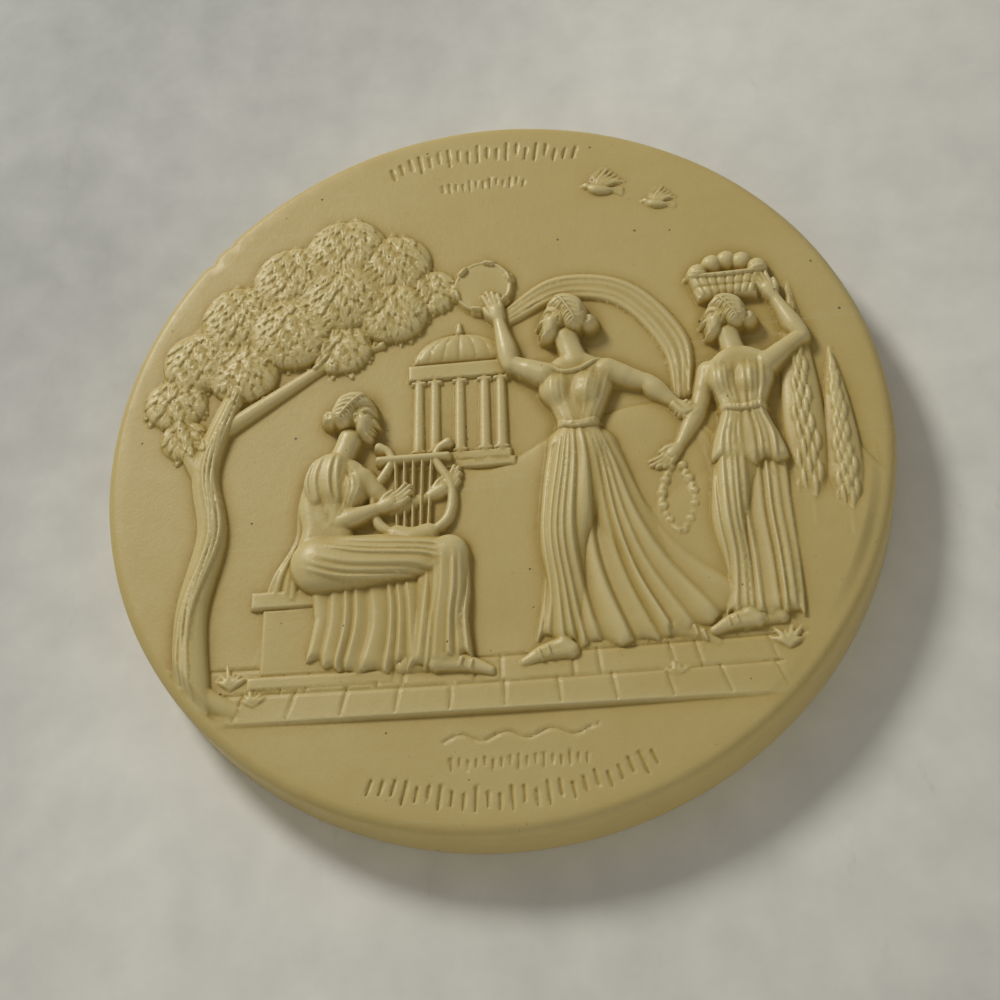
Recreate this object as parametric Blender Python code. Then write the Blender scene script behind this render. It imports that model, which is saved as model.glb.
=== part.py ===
"""A round wall plaque, cast in one piece with a garden scene in relief.

It hangs upright: +Z is up, the carved face looks along -Y, and the origin is at the centre of the flat back.
The carving is a height field. It is drawn in millimetres on a plaque of DRAWN_RADIUS, as swept strokes, swollen
outlines and pressed hollows, and it keeps its proportions when the plaque's sizes change.
"""
import math

import bmesh
import bpy
import numpy as np

# Driving sizes of the casting, in metres
DIAMETER = 0.216
RIM_THICKNESS = 0.016
RIM_ROUNDING = 0.003
RIM_DRAFT = math.radians(2.5)
DISH_DEPTH = 0.002
RELIEF_HEIGHT = 0.008
LEDGE_HEIGHT = 0.0015
BORDER_WIDTH = 0.0035

# The hanging pocket in the back, in metres
POCKET_WIDTH = 0.012
POCKET_HEIGHT = 0.009
POCKET_DEPTH = 0.007
POCKET_CEILING = 0.076

# How finely the casting is divided
RIM_SEGMENTS = 144
ROUNDING_SEGMENTS = 4
SURFACE_DIVISIONS = 210
SURFACE_TRIANGLES = 6900

# The drawing of the carving, in millimetres
DRAWN_RADIUS = 108.0
DRAWN_HEIGHT = 8.0
RASTER = 0.8
GROUND_LINE = -76.0
FLOOR_DEPTH = 26.0
EDGE_FALL = 3.0

COLOUR = (0.45, 0.36, 0.16)
ROUGHNESS = 0.45


# Drawing tools

def spline(rows, steps):
    """Rows of numbers joined by a smooth curve through each of them."""
    rows = np.asarray(rows, float)
    if len(rows) == 2:
        t = np.linspace(0, 1, steps + 1)[:, None]
        return rows[0] * (1 - t) + rows[1] * t
    ends = np.vstack([2 * rows[0] - rows[1], rows, 2 * rows[-1] - rows[-2]])
    t = np.arange(steps)[:, None] / steps
    out = []
    for a, b, c, d in zip(ends[:-3], ends[1:-2], ends[2:-1], ends[3:]):
        out.append(b + 0.5 * t * (c - a + t * (2 * a - 5 * b + 4 * c - d + t * (3 * b - a - 3 * c + d))))
    out.append(rows[-1:])
    return np.vstack(out)


def ring_spline(points, steps=4):
    """A closed smooth curve through the points."""
    points = np.asarray(points, float)
    wrapped = np.vstack([points[-2:], points, points[:2]])
    return spline(wrapped, steps)[2 * steps:(len(points) + 2) * steps]


def higher(a, b, blend):
    """The higher of two surfaces, with a fillet about blend wide where they meet."""
    near = np.clip(1 - np.abs(a - b) / blend, 0, 1)
    return np.maximum(a, b) + near * near * blend / 4


def smooth_step(t):
    """0 below t = 0, 1 above t = 1 and an even curve between them."""
    t = np.clip(t, 0, 1)
    return t * t * (3 - 2 * t)


class Field:
    """The carving's heights on a square raster over the plaque, in millimetres."""

    def __init__(self):
        self.count = int(round(2 * DRAWN_RADIUS / RASTER)) + 1
        self.step = 2 * DRAWN_RADIUS / (self.count - 1)
        self.line = np.linspace(-DRAWN_RADIUS, DRAWN_RADIUS, self.count)
        self.z = np.zeros((self.count, self.count))

    def window(self, low, high):
        """The raster's slices and its x and z between two corners, or None outside it."""
        i0, j0 = (max(0, int((v + DRAWN_RADIUS) / self.step)) for v in low)
        i1, j1 = (min(self.count, int((v + DRAWN_RADIUS) / self.step) + 2) for v in high)
        if i1 <= i0 or j1 <= j0:
            return None
        x, z = np.meshgrid(self.line[i0:i1], self.line[j0:j1])
        return (slice(j0, j1), slice(i0, i1)), x, z

    def height(self, x, z):
        """The heights at any points, by linear steps between the raster's points."""
        i = np.clip((x + DRAWN_RADIUS) / self.step, 0, self.count - 1.001)
        j = np.clip((z + DRAWN_RADIUS) / self.step, 0, self.count - 1.001)
        i0, j0 = i.astype(int), j.astype(int)
        s, t = i - i0, j - j0
        low = self.z[j0, i0] * (1 - s) + self.z[j0, i0 + 1] * s
        high = self.z[j0 + 1, i0] * (1 - s) + self.z[j0 + 1, i0 + 1] * s
        return low * (1 - t) + high * t


def along(field, rows, steps, reach):
    """The nearest point of a path of x, z, radius and lift, for the raster points around it.

    It gives their place in the raster, the distance as a share of the radius there, the radius and the lift.
    """
    path = spline(rows, steps)
    path[:, 2] = np.maximum(path[:, 2], 0.02)
    grow = reach * path[:, 2] + field.step
    got = field.window((path[:, :2] - grow[:, None]).min(0), (path[:, :2] + grow[:, None]).max(0))
    if got is None:
        return None
    place, all_x, all_z = got
    share = np.full(all_x.shape, 9.0)
    radius = np.ones(all_x.shape)
    lift = np.zeros(all_x.shape)
    for a, b, margin in zip(path[:-1], path[1:], np.maximum(grow[:-1], grow[1:])):
        i0, i1 = np.searchsorted(all_x[0], [min(a[0], b[0]) - margin, max(a[0], b[0]) + margin])
        j0, j1 = np.searchsorted(all_z[:, 0], [min(a[1], b[1]) - margin, max(a[1], b[1]) + margin])
        if i1 <= i0 or j1 <= j0:
            continue
        part = (slice(j0, j1), slice(i0, i1))
        x = all_x[part] - a[0]
        z = all_z[part] - a[1]
        length = max(math.hypot(b[0] - a[0], b[1] - a[1]), 1e-6)
        ux, uz = (b[0] - a[0]) / length, (b[1] - a[1]) / length
        s = x * ux + z * uz
        aside = (z * ux - x * uz) ** 2
        taper = (b[2] - a[2]) / length
        t = s + taper * aside / np.maximum(a[2] + taper * s, 0.3 * min(a[2], b[2]))
        t = np.clip(t / length, 0, 1)
        r = a[2] + (b[2] - a[2]) * t
        new = np.sqrt(aside + (s - t * length) ** 2) / r
        nearer = new < share[part]
        share[part] = np.where(nearer, new, share[part])
        radius[part] = np.where(nearer, r, radius[part])
        lift[part] = np.where(nearer, a[3] + (b[3] - a[3]) * t, lift[part])
    return place, share, radius, lift


def stroke(field, rows, thick=0.7, blend=0.3, steps=8, base=None):
    """Adds a rounded form along x, z, radius, lift. lift is its edge's height, above base where given."""
    got = along(field, rows, steps, 1.35)
    if got is None:
        return
    place, share, radius, lift = got
    top = lift + thick * radius * np.sqrt(np.clip(1 - share ** 2, 0, 1))
    top = top - EDGE_FALL * radius * np.clip(share - 1, 0, None)
    if base is not None:
        top = top + base[place]
    old = field.z[place]
    field.z[place] = np.where(share < 1.3, higher(old, top, blend), old)


def press(field, rows, height, steps=8):
    """Raises the surface as it stands by height along x, z, radius."""
    got = along(field, [(*row[:3], 0) for row in rows], steps, 1.0)
    if got is not None:
        place, share = got[:2]
        field.z[place] += height * np.clip(1 - share ** 2, 0, 1) ** 2


def filled(outline, longest):
    """The outline with points added so that no side is longer than longest."""
    out = []
    for a, b in zip(outline, np.roll(outline, -1, axis=0)):
        n = max(1, math.ceil(math.hypot(*(b - a)) / longest))
        out.extend(a + (b - a) * k / n for k in range(n))
    return np.array(out)


def swell(field, outline, lift, dome, width, blend=0.3):
    """Fills an outline with a form that rises by dome over width from its edge."""
    outline = filled(np.asarray(outline, float), 2 * field.step)
    got = field.window(outline.min(0) - 1.5, outline.max(0) + 1.5)
    if got is None:
        return
    place, x, z = got
    near = np.full(x.shape, 1e9)
    pull = np.zeros(x.shape)
    within = np.zeros(x.shape, bool)
    for (ax, az), (bx, bz) in zip(outline, np.roll(outline, -1, axis=0)):
        dx, dz = bx - ax, bz - az
        side = max(math.hypot(dx, dz), 1e-9)
        t = np.clip(((x - ax) * dx + (z - az) * dz) / side ** 2, 0, 1)
        near = np.minimum(near, (x - ax - t * dx) ** 2 + (z - az - t * dz) ** 2)
        pull += side / np.maximum((x - ax - dx / 2) ** 2 + (z - az - dz / 2) ** 2, 0.05) ** 1.5
        if az != bz:
            within ^= ((az > z) != (bz > z)) & (x < ax + (z - az) * dx / dz)
    near = np.sqrt(near)
    rounder = np.minimum(near, np.sqrt(2 / pull))
    depth = near + (rounder - near) * np.clip(near / 1.5 - 0.6, 0, 1)
    share = np.where(within, np.clip(depth / width, 0, 1), 0)
    top = lift + dome * np.sqrt(1 - (1 - share) ** 2) - np.where(within, 0, EDGE_FALL * near)
    old = field.z[place]
    field.z[place] = np.where(within | (near < 0.6), higher(old, top, blend), old)


def block(field, x0, x1, z0, z1, lift, dome, width):
    """A flat upright block with softened edges."""
    swell(field, [(x0, z0), (x1, z0), (x1, z1), (x0, z1)], lift, dome, width, 0.1)


class Frame:
    """Coordinates of one form: u forward and v up in shares of its size, turned by tilt degrees."""

    def __init__(self, x, z, size, facing=1, tilt=0.0):
        self.x, self.z, self.size, self.facing = x, z, size, facing
        self.cos = math.cos(math.radians(tilt))
        self.sin = math.sin(math.radians(tilt))

    def at(self, u, v):
        """The drawing's x and z at u and v."""
        across = self.facing * self.size * (u * self.cos - v * self.sin)
        return self.x + across, self.z + self.size * (u * self.sin + v * self.cos)

    def rows(self, rows, lift=0.0):
        """Rows of u, v, radius and lift as rows of the drawing, lift being added to each."""
        return [(*self.at(u, v), r * self.size, lift + sum(up)) for u, v, r, *up in rows]

    def flat(self, points):
        """Points of u and v as points of the drawing."""
        return np.array([self.at(u, v) for u, v in points])


def between(guides, share):
    """The path at a share of the way across several guide paths."""
    guides = np.asarray(guides, float)
    fine = spline(guides.reshape(len(guides), -1), 24)
    return fine[int(round(share * (len(fine) - 1)))].reshape(guides.shape[1:])


def folds(field, f, guides, count, lift, thick=0.9, base=None, fill=0.62):
    """Cloth folds side by side between guide paths of u, v, lift, each a little unlike the next."""
    last = count - 1
    for k in range(count):
        path = between(guides, k / last)
        low = between(guides, max(0, (k - 0.5) / last))
        high = between(guides, min(1, (k + 0.5) / last))
        gap = np.hypot(*(high - low)[:, :2].T) * (2 if k in (0, last) else 1)
        wide = np.maximum(fill * gap * (1 + 0.25 * math.sin(2.3 * k)), 0.004)
        rise = 0.27 * math.sin(1.7 * k + 1.3)
        rows = [(u, v, r, up + rise) for (u, v, up), r in zip(path, wide)]
        stroke(field, f.rows(rows, lift), thick, 0.15, 7, base)


# The parts of a figure

FACE_OUTLINE = [
    (0.27, 0.36), (0.352, 0.25), (0.385, 0.13), (0.375, 0.065), (0.43, -0.03), (0.487, -0.115),
    (0.462, -0.16), (0.402, -0.172), (0.392, -0.195), (0.425, -0.235), (0.388, -0.262), (0.413, -0.295),
    (0.372, -0.34), (0.385, -0.41), (0.33, -0.475), (0.20, -0.46), (0.04, -0.37), (-0.05, -0.22),
    (-0.25, -0.22), (-0.40, -0.05), (-0.45, 0.14), (-0.38, 0.34), (-0.18, 0.475), (0.06, 0.49)]
HAIR_OUTLINE = [
    (0.255, 0.375), (0.30, 0.30), (0.27, 0.235), (0.15, 0.14), (0.06, 0.075), (0.045, -0.02),
    (-0.04, -0.13), (-0.14, -0.235), (-0.30, -0.24), (-0.48, -0.10), (-0.515, 0.12), (-0.43, 0.37),
    (-0.2, 0.53), (0.08, 0.54)]
HEAD_SHARE = 0.135


def head(field, x, z, figure, facing, tilt, lift):
    """A head in profile, its hair drawn back into a knot. figure is the standing figure's height."""
    size = HEAD_SHARE * figure
    f = Frame(x, z, size, facing, tilt)
    swell(field, ring_spline(f.flat(FACE_OUTLINE)), lift, 0.27 * size, 0.24 * size, 0.15)
    swell(field, ring_spline(f.flat(HAIR_OUTLINE)), lift + 0.03 * size, 0.3 * size, 0.22 * size, 0.1)
    stroke(field, f.rows([(-0.52, -0.04, 0.17), (-0.55, -0.02, 0.155)], lift), 1.1, 0.1)


def neck(field, f, base, top):
    """The neck from the shoulders to under the jaw."""
    base, top = np.array(base), np.array(top)
    middle = base * 0.45 + top * 0.55
    stroke(field, f.rows([(*base, 0.036, 1.6), (*middle, 0.030, 1.9), (*top, 0.032, 1.8)]), 0.8, 0.5)


def arm(field, f, shoulder, elbow, wrist, start, end):
    """A bare arm with its swell of muscle. start and end are its heights at the shoulder and the wrist."""
    s, e, w = (np.array(p) for p in (shoulder, elbow, wrist))
    shape = [(s, 0.033, 0), (s * 0.6 + e * 0.4, 0.0285, 0.3), (s * 0.15 + e * 0.85, 0.0235, 0.5), (e, 0.0235, 0.5),
             (e * 0.7 + w * 0.3, 0.026, 0.7), (e * 0.3 + w * 0.7, 0.019, 1), (w, 0.0145, 1)]
    stroke(field, f.rows([(*p, r, start + (end - start) * t) for p, r, t in shape]), 0.85, 0.4)


def hand(field, f, wrist, angle, lift, curl=0.0, side=1):
    """A closed hand from the wrist, pointing at angle degrees and bending by curl."""
    length = 0.10
    ahead = np.array([math.cos(math.radians(angle)), math.sin(math.radians(angle))])
    across = np.array([-ahead[1], ahead[0]]) * side
    palm = np.array(wrist) + ahead * length * 0.36
    tip = palm + (ahead * 0.45 + across * curl * 0.3) * length
    stroke(field, f.rows([(*wrist, 0.0145), (*palm, 0.020), (*tip, 0.011)], lift), 0.75, 0.15)


def foot(field, f, ankle, toe, lift):
    """A foot seen from the side."""
    a, t = np.array(ankle), np.array(toe)
    heel = a + (a - t) * 0.18 + np.array([0, -0.022])
    stroke(field, f.rows([(*a, 0.022, lift), (*heel, 0.021, lift)]), 0.85)
    for start in (heel, a):
        arch = start * 0.45 + t * 0.55 + np.array([0, 0.006])
        stroke(field, f.rows([(*start, 0.02, lift), (*arch, 0.016, lift), (*t, 0.011, lift)]), 0.85)


def bust(field, f, places, height):
    """The chest's forms at the given places."""
    for u, v in places:
        rows = [(u, v + 0.012, 0.042), (u + 0.004, v - 0.006, 0.044)]
        press(field, [(*f.at(a, b), r * f.size) for a, b, r in rows], height)


# The figures

def dancer(field, x, z, size, facing):
    """A dancing woman with a tambourine held up and a scarf behind her."""
    f = Frame(x, z, size, facing)
    scarf = [
        [(0.20, 1.00, 0.2), (0.04, 1.10, 0.4), (-0.16, 1.06, 0.4), (-0.30, 0.88, 0.3), (-0.30, 0.70, 0.6)],
        [(0.17, 0.96, 0.2), (0.03, 1.02, 0.4), (-0.12, 0.99, 0.4), (-0.23, 0.84, 0.3), (-0.25, 0.68, 0.6)]]
    tail = [
        [(-0.26, 0.66, 0.4), (-0.36, 0.58, 0.0), (-0.40, 0.46, 0.2), (-0.50, 0.40, -0.6)],
        [(-0.24, 0.64, 0.4), (-0.30, 0.55, 0.0), (-0.33, 0.42, 0.2), (-0.40, 0.32, -0.6)]]
    folds(field, f, scarf, 3, -0.8, 0.7)
    folds(field, f, tail, 3, -0.6, 0.7)
    foot(field, f, (-0.22, 0.085), (-0.31, 0.03), -0.4)
    foot(field, f, (0.055, 0.05), (0.15, 0.012), 0.6)
    skirt_outline = [
        (0.058, 0.63), (0.092, 0.53), (0.108, 0.38), (0.098, 0.22), (0.118, 0.085), (0.0, 0.055), (-0.16, 0.05),
        (-0.30, 0.085), (-0.385, 0.165), (-0.27, 0.26), (-0.18, 0.38), (-0.11, 0.53), (-0.06, 0.63)]
    swell(field, ring_spline(f.flat(skirt_outline)), -0.1, 1.5, 5.0, 0.4)
    front_leg = [(0.0, 0.57, 0.078, 0.2), (0.022, 0.44, 0.074, 0.7), (0.045, 0.32, 0.058, 1.3),
                 (0.042, 0.2, 0.044, 0.6), (0.05, 0.09, 0.034, 0.0)]
    rear_leg = [(-0.03, 0.56, 0.075, 0.0), (-0.10, 0.38, 0.064, -0.2), (-0.17, 0.24, 0.046, -0.5),
                (-0.23, 0.11, 0.03, -1.0)]
    stroke(field, f.rows(front_leg), 0.62, 1.6)
    stroke(field, f.rows(rear_leg), 0.55, 1.6)
    skirt = [
        [(0.045, 0.64, 0.0), (0.086, 0.53, 0.0), (0.098, 0.36, -0.1), (0.086, 0.20, 0.0), (0.105, 0.095, -0.5)],
        [(0.014, 0.64, 0.0), (0.03, 0.53, -0.2), (0.055, 0.34, -0.5), (0.035, 0.18, 0.1), (0.02, 0.065, -0.2)],
        [(-0.02, 0.64, 0.0), (-0.045, 0.53, -0.1), (-0.065, 0.35, 0.2), (-0.10, 0.19, 0.3), (-0.15, 0.06, -0.1)],
        [(-0.05, 0.64, 0.0), (-0.10, 0.53, 0.0), (-0.165, 0.38, 0.0), (-0.255, 0.25, 0.1), (-0.37, 0.16, -0.5)]]
    folds(field, f, skirt, 9, -0.45, 0.6, field.z.copy(), 0.55)
    torso = [
        (0.028, 0.845), (-0.02, 0.85), (-0.06, 0.83), (-0.105, 0.805), (-0.10, 0.755), (-0.078, 0.70),
        (-0.058, 0.63), (-0.078, 0.57), (0.07, 0.57), (0.048, 0.63), (0.062, 0.69), (0.092, 0.735),
        (0.088, 0.79), (0.06, 0.825)]
    swell(field, ring_spline(f.flat(torso)), 1.2, 3.1, 3.4, 0.5)
    bust(field, f, ((0.048, 0.735), (-0.032, 0.732)), 1.4)
    neck(field, f, (-0.005, 0.82), (0.018, 0.90))
    head(field, *f.at(0.028, 0.945), size, facing, 6, 2.2)
    arm(field, f, (-0.085, 0.79), (-0.185, 0.745), (-0.255, 0.675), 1.4, 1.2)
    hand(field, f, (-0.255, 0.675), 228, 1.0, 0.35)
    tambourine(field, *f.at(0.235, 1.085), 0.078 * size)
    arm(field, f, (0.078, 0.79), (0.165, 0.835), (0.192, 0.965), 2.2, 2.0)
    hand(field, f, (0.192, 0.965), 78, 2.0, 0.1, -1)


def tambourine(field, x, z, radius):
    """A round frame drum with a raised hoop."""
    turns = np.linspace(0, 2 * math.pi, 33)
    hoop = [(x + radius * math.cos(t), z + radius * math.sin(t)) for t in turns]
    swell(field, hoop[:-1], 0.8, 0.7, 1.2, 0.1)
    stroke(field, [(*p, 0.9, -0.2) for p in hoop], 0.8, 0.1, 2, field.z.copy())


def musician(field, x, z, size, facing):
    """A woman on a stone bench, playing a lyre."""
    f = Frame(x, z, size, facing)
    bench(field, f)
    foot(field, f, (0.20, 0.055), (0.31, 0.018), 0.0)
    far_shin = [
        [(0.20, 0.345, 0.6), (0.285, 0.31, 0.4), (0.27, 0.18, 0.0), (0.275, 0.075, -0.4)],
        [(0.14, 0.30, 0.8), (0.20, 0.27, 0.6), (0.18, 0.16, 0.2), (0.16, 0.06, -0.4)]]
    folds(field, f, far_shin, 4, -0.2, 0.7)
    foot(field, f, (0.285, 0.055), (0.40, 0.015), 1.2)
    hanging_cloth = [
        [(0.17, 0.255, 2.0), (0.215, 0.20, 1.0), (0.235, 0.12, 0.6), (0.255, 0.055, 0.0)],
        [(0.06, 0.262, 2.0), (0.09, 0.20, 1.0), (0.10, 0.12, 0.8), (0.09, 0.03, 0.0)],
        [(-0.04, 0.262, 1.6), (-0.04, 0.20, 0.8), (-0.02, 0.13, 0.5), (-0.05, 0.07, -0.2)]]
    folds(field, f, hanging_cloth, 7, -0.6, 0.75)
    near_shin = [
        [(0.325, 0.335, 2.6), (0.345, 0.24, 2.0), (0.335, 0.15, 1.5), (0.345, 0.06, 0.6)],
        [(0.30, 0.345, 3.2), (0.30, 0.24, 2.8), (0.29, 0.15, 2.0), (0.285, 0.05, 1.0)],
        [(0.25, 0.29, 2.6), (0.245, 0.22, 2.0), (0.235, 0.14, 1.4), (0.20, 0.045, 0.4)]]
    folds(field, f, near_shin, 5, -0.9, 0.75)
    thigh = [(-0.03, 0.325, 0.082, 1.2), (0.08, 0.325, 0.072, 1.8), (0.20, 0.33, 0.060, 2.0),
             (0.285, 0.325, 0.050, 1.8)]
    stroke(field, f.rows(thigh), 0.62, 1.2)
    torso = [
        (0.05, 0.618), (-0.005, 0.628), (-0.05, 0.60), (-0.085, 0.55), (-0.095, 0.48), (-0.085, 0.42),
        (-0.095, 0.36), (-0.06, 0.30), (0.05, 0.32), (0.055, 0.39), (0.05, 0.43), (0.075, 0.48),
        (0.095, 0.525), (0.085, 0.58)]
    swell(field, ring_spline(f.flat(torso)), 1.2, 3.2, 3.4, 0.6)
    bust(field, f, ((0.05, 0.518),), 1.3)
    cloak = [
        [(0.02, 0.628, 3.4), (-0.05, 0.585, 3.0), (-0.09, 0.50, 2.0), (-0.10, 0.40, 1.4), (-0.15, 0.30, 1.2),
         (-0.17, 0.23, 0.4)],
        [(0.03, 0.60, 3.6), (0.0, 0.55, 3.6), (-0.04, 0.47, 3.2), (-0.065, 0.39, 2.8), (-0.08, 0.31, 2.2),
         (-0.085, 0.245, 1.2)]]
    folds(field, f, cloak, 4, -0.6, 0.65)
    neck(field, f, (0.01, 0.61), (0.035, 0.68))
    arm(field, f, (0.07, 0.56), (0.15, 0.47), (0.25, 0.50), 1.2, 0.6)
    lyre(field, f)
    hand(field, f, (0.25, 0.50), 25, 1.6, 0.5)
    arm(field, f, (-0.025, 0.565), (0.015, 0.435), (0.115, 0.468), 3.4, 3.2)
    hand(field, f, (0.115, 0.468), 20, 3.0, 0.3)
    sleeve = [
        [(-0.058, 0.60, -0.3), (-0.066, 0.55, -0.1), (-0.05, 0.50, -0.3)],
        [(0.018, 0.61, -0.3), (0.022, 0.56, -0.1), (0.03, 0.515, -0.3)]]
    folds(field, f, sleeve, 3, 0.0, 0.4, field.z.copy())
    head(field, *f.at(0.055, 0.735), size, facing, -8, 2.2)


def bench(field, f):
    """A stone bench: plinth, body and seat slab, each with its own overhang."""
    for v0, v1, back, front, lift in ((0.0, 0.035, -0.21, 0.16, 0.2), (0.035, 0.215, -0.18, 0.12, -0.2),
                                      (0.215, 0.262, -0.21, 0.16, 0.5)):
        corners = [(back, v0), (front, v0), (front, v1), (back, v1)]
        swell(field, f.flat(corners), lift, 0.9, 0.8, 0.1)


def lyre(field, f):
    """A lyre with two curved horns, a crossbar and a sound box."""
    middle = 0.205
    horn = ((0.185, 0.375, 0.016), (0.115, 0.43, 0.014), (0.105, 0.52, 0.012), (0.145, 0.60, 0.011),
            (0.125, 0.66, 0.010), (0.095, 0.675, 0.014))
    for side in (1, -1):
        stroke(field, f.rows([(middle + side * (middle - u), v, r, 1.7) for u, v, r in horn]), 1.0, 0.15)
    stroke(field, f.rows([(0.115, 0.61, 0.010, 2.2), (0.295, 0.61, 0.010, 2.2)]), 1.0, 0.1)
    stroke(field, f.rows([(0.165, 0.39, 0.03, 1.7), (0.205, 0.375, 0.036, 1.8), (0.245, 0.39, 0.03, 1.7)]))


def bearer(field, x, z, size, facing):
    """A woman standing in a long belted robe, a basket of fruit on her head and a garland in her hand."""
    f = Frame(x, z, size, facing)
    foot(field, f, (-0.035, 0.055), (0.045, 0.018), 0.0)
    foot(field, f, (0.03, 0.05), (0.125, 0.012), 0.9)
    robe_outline = [
        (0.075, 0.60), (0.088, 0.50), (0.082, 0.34), (0.078, 0.2), (0.088, 0.06), (0.0, 0.045),
        (-0.105, 0.055), (-0.115, 0.22), (-0.11, 0.38), (-0.105, 0.50), (-0.078, 0.60)]
    swell(field, ring_spline(f.flat(robe_outline)), 0.0, 2.2, 3.2, 0.4)
    bent_leg = [(0.02, 0.52, 0.06, 1.0), (0.05, 0.40, 0.052, 1.5), (0.062, 0.30, 0.042, 1.9),
                (0.045, 0.18, 0.032, 1.0), (0.035, 0.08, 0.026, 0.4)]
    stroke(field, f.rows(bent_leg), 0.6, 1.4)
    robe = [
        [(0.07, 0.60, 0.0), (0.082, 0.48, -0.1), (0.088, 0.32, -0.4), (0.07, 0.18, 0.0), (0.08, 0.065, -0.4)],
        [(0.01, 0.60, 0.0), (0.01, 0.48, 0.0), (0.005, 0.34, 0.1), (-0.005, 0.2, 0.2), (0.0, 0.045, -0.2)],
        [(-0.065, 0.60, 0.0), (-0.088, 0.48, 0.0), (-0.094, 0.34, 0.0), (-0.10, 0.2, 0.0), (-0.10, 0.06, -0.4)]]
    folds(field, f, robe, 7, -0.4, 0.7, field.z.copy(), 0.55)
    torso = [
        (0.03, 0.845), (-0.02, 0.85), (-0.06, 0.835), (-0.10, 0.805), (-0.098, 0.75), (-0.078, 0.70),
        (-0.068, 0.64), (-0.10, 0.55), (-0.105, 0.50), (0.0, 0.475), (0.09, 0.505), (0.083, 0.56),
        (0.058, 0.64), (0.068, 0.70), (0.092, 0.74), (0.088, 0.79), (0.06, 0.825)]
    swell(field, ring_spline(f.flat(torso)), 1.6, 2.9, 3.4, 0.4)
    bust(field, f, ((0.05, 0.738), (-0.028, 0.735)), 1.25)
    neck(field, f, (0.0, 0.82), (0.018, 0.90))
    arm(field, f, (0.08, 0.785), (0.12, 0.66), (0.175, 0.565), 1.0, 1.2)
    hand(field, f, (0.175, 0.565), -50, 1.2, 0.3)
    garland = [(0.20, 0.52), (0.235, 0.40), (0.19, 0.30), (0.145, 0.40), (0.18, 0.52)]
    stroke(field, f.rows([(u, v, 0.014, 0.3) for u, v in garland]), 1.0, 0.1)
    head(field, *f.at(0.028, 0.945), size, facing, 2, 2.2)
    basket(field, f)
    arm(field, f, (-0.085, 0.79), (-0.185, 0.87), (-0.125, 1.005), 2.4, 2.0)
    hand(field, f, (-0.125, 1.005), 62, 2.2, 0.1)


def basket(field, f):
    """A shallow basket heaped with round fruit."""
    for k in range(5):
        u = -0.085 + 0.0425 * k
        v = 1.15 - 0.035 * (k / 2 - 1) ** 2
        stroke(field, f.rows([(u, v, 0.029, 1.2), (u + 0.003, v, 0.028, 1.2)]), 0.9, 0.1, 2)
    sides = f.flat([(-0.075, 1.02), (0.09, 1.02), (0.118, 1.105), (-0.103, 1.105)])
    swell(field, sides, 1.4, 2.0, 2.4, 0.1)
    rim = [(-0.107, 1.103, 0.010), (0.008, 1.095, 0.011), (0.122, 1.103, 0.010)]
    stroke(field, f.rows(rim), 0.9, 0.1, 8, field.z.copy())


# What stands round the figures

def tree(field):
    """An old olive tree at the left, with its crown over the musician."""
    foot_z = GROUND_LINE + 6
    trunk = [(-78, foot_z, 5.2, 0.2), (-80, -45, 4.4, 0.3), (-76, -22, 4.2, 0.4), (-79, -2, 3.8, 0.4),
             (-73, 18, 3.2, 0.4), (-66, 34, 2.4, 0.3)]
    branches = [
        [(-79, -6, 3.0, 0.3), (-86, 8, 2.3, 0.3), (-89, 22, 1.6, 0.2)],
        [(-75, 10, 2.6, 0.4), (-60, 20, 2.0, 0.4), (-44, 30, 1.5, 0.2), (-30, 34, 1.0, 0.2)],
        [(-78, foot_z + 2, 3.6, 0.0), (-86, foot_z - 3, 2.0, -0.4)],
        [(-76, foot_z + 2, 3.6, 0.0), (-67, foot_z - 2, 2.0, -0.4)]]
    stroke(field, trunk, 0.62, 0.5)
    for branch in branches:
        stroke(field, branch, 0.65, 0.6, 6)
    lobes = [
        (-89, 20, 8, 0.2), (-83, 33, 9.5, 0.6), (-71, 46, 11, 0.3), (-70, 28, 9, 0.9), (-56, 58, 11, 0.6),
        (-56, 40, 11, 1.2), (-41, 66, 11, 0.4), (-42, 50, 10.5, 1.3), (-27, 60, 10, 0.5), (-27, 44, 9, 0.9),
        (-16, 50, 7, 0.2), (-42, 34, 8, 0.5), (-86, 8, 6, 0.1)]
    for x, z, size, lift in lobes:
        stroke(field, [(x - 0.12 * size, z, size, lift), (x + 0.12 * size, z, size, lift)], 0.3, 0.4, 2)


def hills(field):
    """Two lines of low hills and a pair of cypresses, fading out towards the floor."""
    for x, z, high, wide in ((84, -24, 66, 5.6), (93, -28, 48, 4.6)):
        shape = [(x, z, wide * 0.8, 0.3), (x, z + high * 0.3, wide, 0.4), (x, z + high * 0.65, wide * 0.7, 0.4),
                 (x, z + high, 0.5, 0.0)]
        stroke(field, shape, 0.4, 0.2)
    low = GROUND_LINE + 6
    far_hill = [(-50, -34), (-38, -14), (-20, -3), (0, -8), (20, 2), (44, 8), (66, 2), (84, -8), (100, -14),
                (112, low), (-50, low)]
    near_hill = [(28, -40), (44, -22), (62, -12), (80, -18), (112, -34), (112, low), (20, low)]
    swell(field, ring_spline(far_hill, 6), -0.4, 1.2, 12, 0.5)
    swell(field, ring_spline(near_hill, 6), 0.0, 1.1, 10, 0.5)
    field.z *= smooth_step((field.line[:, None] - (GROUND_LINE + 12)) / 30)


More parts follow.
